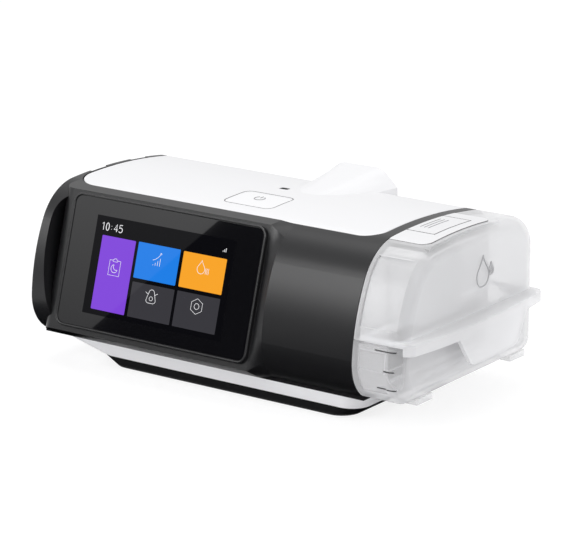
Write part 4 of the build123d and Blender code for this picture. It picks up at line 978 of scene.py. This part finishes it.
@dataclass
class Studio:
    """Pale floor, white surround, soft lamps, reflection cards and the camera."""

    aim: Spot = (14.0, -24.0, 65.3)
    azimuth: float = 35.6
    elevation: float = 16.0
    distance: float = 1700.0
    lens: float = 183.1
    sensor: float = 36.0
    floor_radius: float = 24.0
    floor_sides: int = 96
    floor_colour: Colour = (0.88, 0.88, 0.89)
    floor_glow: float = 1.13
    floor_glow_share: float = 0.72
    surround_colour: Colour = (0.99, 0.99, 1.0)
    surround_strength: float = 0.66
    lamps: tuple[Lamp, ...] = LAMPS
    cards: tuple[Card, ...] = CARDS

    def build(self) -> None:
        """Builds the floor, the world, the lamps, the cards and the camera."""
        self.build_floor()
        self.build_world()
        for lamp in self.lamps:
            self.build_lamp(lamp)
        for card in self.cards:
            self.build_card(card)
        self.build_camera()
        bpy.context.scene.view_settings.view_transform = "Standard"

    def build_floor(self) -> None:
        """Lays a wide white floor that keeps the shadow of the machine."""
        deselect()
        bpy.ops.mesh.primitive_circle_add(
            vertices=self.floor_sides, radius=self.floor_radius, fill_type="NGON"
        )
        floor = bpy.context.active_object
        floor.name = "studio_floor"
        made = bpy.data.materials.new("studio_floor")
        made.use_nodes = True
        tree = made.node_tree
        tree.nodes.clear()
        lit = tree.nodes.new("ShaderNodeBsdfDiffuse")
        lit.inputs["Color"].default_value = (*self.floor_colour, 1.0)
        glow = tree.nodes.new("ShaderNodeEmission")
        glow.inputs["Color"].default_value = (1.0, 1.0, 1.0, 1.0)
        glow.inputs["Strength"].default_value = self.floor_glow
        mix = tree.nodes.new("ShaderNodeMixShader")
        share = tree.nodes.new("ShaderNodeMath")
        share.operation = "MULTIPLY"
        share.inputs[1].default_value = self.floor_glow_share
        tree.links.new(self.seen_rays(tree), share.inputs[0])
        tree.links.new(share.outputs[0], mix.inputs["Fac"])
        tree.links.new(lit.outputs[0], mix.inputs[1])
        tree.links.new(glow.outputs[0], mix.inputs[2])
        out = tree.nodes.new("ShaderNodeOutputMaterial")
        tree.links.new(mix.outputs[0], out.inputs["Surface"])
        floor.data.materials.append(made)

    @staticmethod
    def seen_rays(tree: bpy.types.NodeTree) -> bpy.types.NodeSocket:
        """Value that is one for camera, glossy and transmission rays.

        Args:
            tree: Node tree to build in.

        Returns:
            The output socket.
        """
        rays = tree.nodes.new("ShaderNodeLightPath")
        first = tree.nodes.new("ShaderNodeMath")
        first.operation = "MAXIMUM"
        second = tree.nodes.new("ShaderNodeMath")
        second.operation = "MAXIMUM"
        tree.links.new(rays.outputs["Is Camera Ray"], first.inputs[0])
        tree.links.new(rays.outputs["Is Glossy Ray"], first.inputs[1])
        tree.links.new(first.outputs[0], second.inputs[0])
        tree.links.new(rays.outputs["Is Transmission Ray"], second.inputs[1])
        return second.outputs[0]

    def build_world(self) -> None:
        """Makes a plain white surround that lights at a low level."""
        world = bpy.data.worlds.new("studio_surround")
        bpy.context.scene.world = world
        world.use_nodes = True
        tree = world.node_tree
        tree.nodes.clear()
        soft = tree.nodes.new("ShaderNodeBackground")
        soft.inputs["Color"].default_value = (*self.surround_colour, 1.0)
        soft.inputs["Strength"].default_value = self.surround_strength
        white = tree.nodes.new("ShaderNodeBackground")
        white.inputs["Strength"].default_value = 1.0
        mix = tree.nodes.new("ShaderNodeMixShader")
        tree.links.new(self.seen_rays(tree), mix.inputs["Fac"])
        tree.links.new(soft.outputs[0], mix.inputs[1])
        tree.links.new(white.outputs[0], mix.inputs[2])
        out = tree.nodes.new("ShaderNodeOutputWorld")
        tree.links.new(mix.outputs[0], out.inputs["Surface"])

    def build_lamp(self, lamp: Lamp) -> None:
        """Adds one lamp that points at the machine.

        Args:
            lamp: The lamp's place, size and power.
        """
        deselect()
        place = Vector(lamp.spot) * MM
        bpy.ops.object.light_add(type="AREA", location=place)
        made = bpy.context.active_object
        made.name = lamp.name
        made.data.shape = "RECTANGLE"
        made.data.size = lamp.size[0] * MM
        made.data.size_y = lamp.size[1] * MM
        made.data.energy = lamp.power
        way = Vector(self.aim) * MM - place
        made.rotation_euler = way.to_track_quat("-Z", "Y").to_euler()

    @staticmethod
    def card_material(card: Card) -> bpy.types.Material:
        """Makes the glow of a card, which changes evenly with height.

        Args:
            card: The card's corners and brightness.

        Returns:
            The material.
        """
        heights = [corner[2] * MM for corner in card.corners]
        made = bpy.data.materials.new(card.name)
        made.use_nodes = True
        tree = made.node_tree
        tree.nodes.clear()
        place = tree.nodes.new("ShaderNodeTexCoord")
        split = tree.nodes.new("ShaderNodeSeparateXYZ")
        level = tree.nodes.new("ShaderNodeMapRange")
        level.inputs["From Min"].default_value = min(heights)
        level.inputs["From Max"].default_value = max(heights) + MM
        level.inputs["To Min"].default_value = card.low
        level.inputs["To Max"].default_value = card.high
        glow = tree.nodes.new("ShaderNodeEmission")
        out = tree.nodes.new("ShaderNodeOutputMaterial")
        tree.links.new(place.outputs["Object"], split.inputs[0])
        tree.links.new(split.outputs["Z"], level.inputs["Value"])
        tree.links.new(level.outputs["Result"], glow.inputs["Strength"])
        tree.links.new(glow.outputs[0], out.inputs["Surface"])
        return made

    def build_card(self, card: Card) -> None:
        """Adds one card.

        Args:
            card: The card's corners and brightness.
        """
        made = draw_path(card.name, scaled(card.corners), True)
        bpy.ops.object.mode_set(mode="EDIT")
        bpy.ops.mesh.select_all(action="SELECT")
        bpy.ops.mesh.edge_face_add()
        bpy.ops.object.mode_set(mode="OBJECT")
        made.data.materials.append(self.card_material(card))
        made.visible_camera = False
        made.visible_diffuse = False
        made.visible_transmission = False
        made.visible_shadow = False

    def build_camera(self) -> None:
        """Adds the camera."""
        turn, rise = math.radians(self.azimuth), math.radians(self.elevation)
        away = Vector((math.sin(turn) * math.cos(rise), -math.cos(turn) * math.cos(rise), math.sin(rise)))
        spot = (Vector(self.aim) + away * self.distance) * MM
        deselect()
        bpy.ops.object.camera_add(location=spot, rotation=(-away).to_track_quat("-Z", "Y").to_euler())
        camera = bpy.context.active_object
        camera.data.lens = self.lens
        camera.data.sensor_width = self.sensor
        camera.data.sensor_fit = "HORIZONTAL"
        bpy.context.scene.camera = camera


@dataclass
class Casework:
    """The machine's own pieces, from the housing to the water tank, each with its finish."""

    finishes: dict[str, Finish] = field(default_factory=lambda: dict(NODE_FINISH))

    def build(self) -> None:
        """Gives every piece its finish."""
        for name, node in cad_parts.items():
            node.data.materials.clear()
            node.data.materials.append(self.finishes[name].material())
            LOG.info("%s has finish %s", name, self.finishes[name].name)


def main() -> None:
    """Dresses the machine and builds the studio."""
    logging.basicConfig(level=logging.INFO, format="%(message)s")
    for part in (Casework(), TouchScreen(), TopControls(), WaterTank(), Studio()):
        part.build()
        LOG.info("built %s", type(part).__name__)


if __name__ == "__main__":
    main()
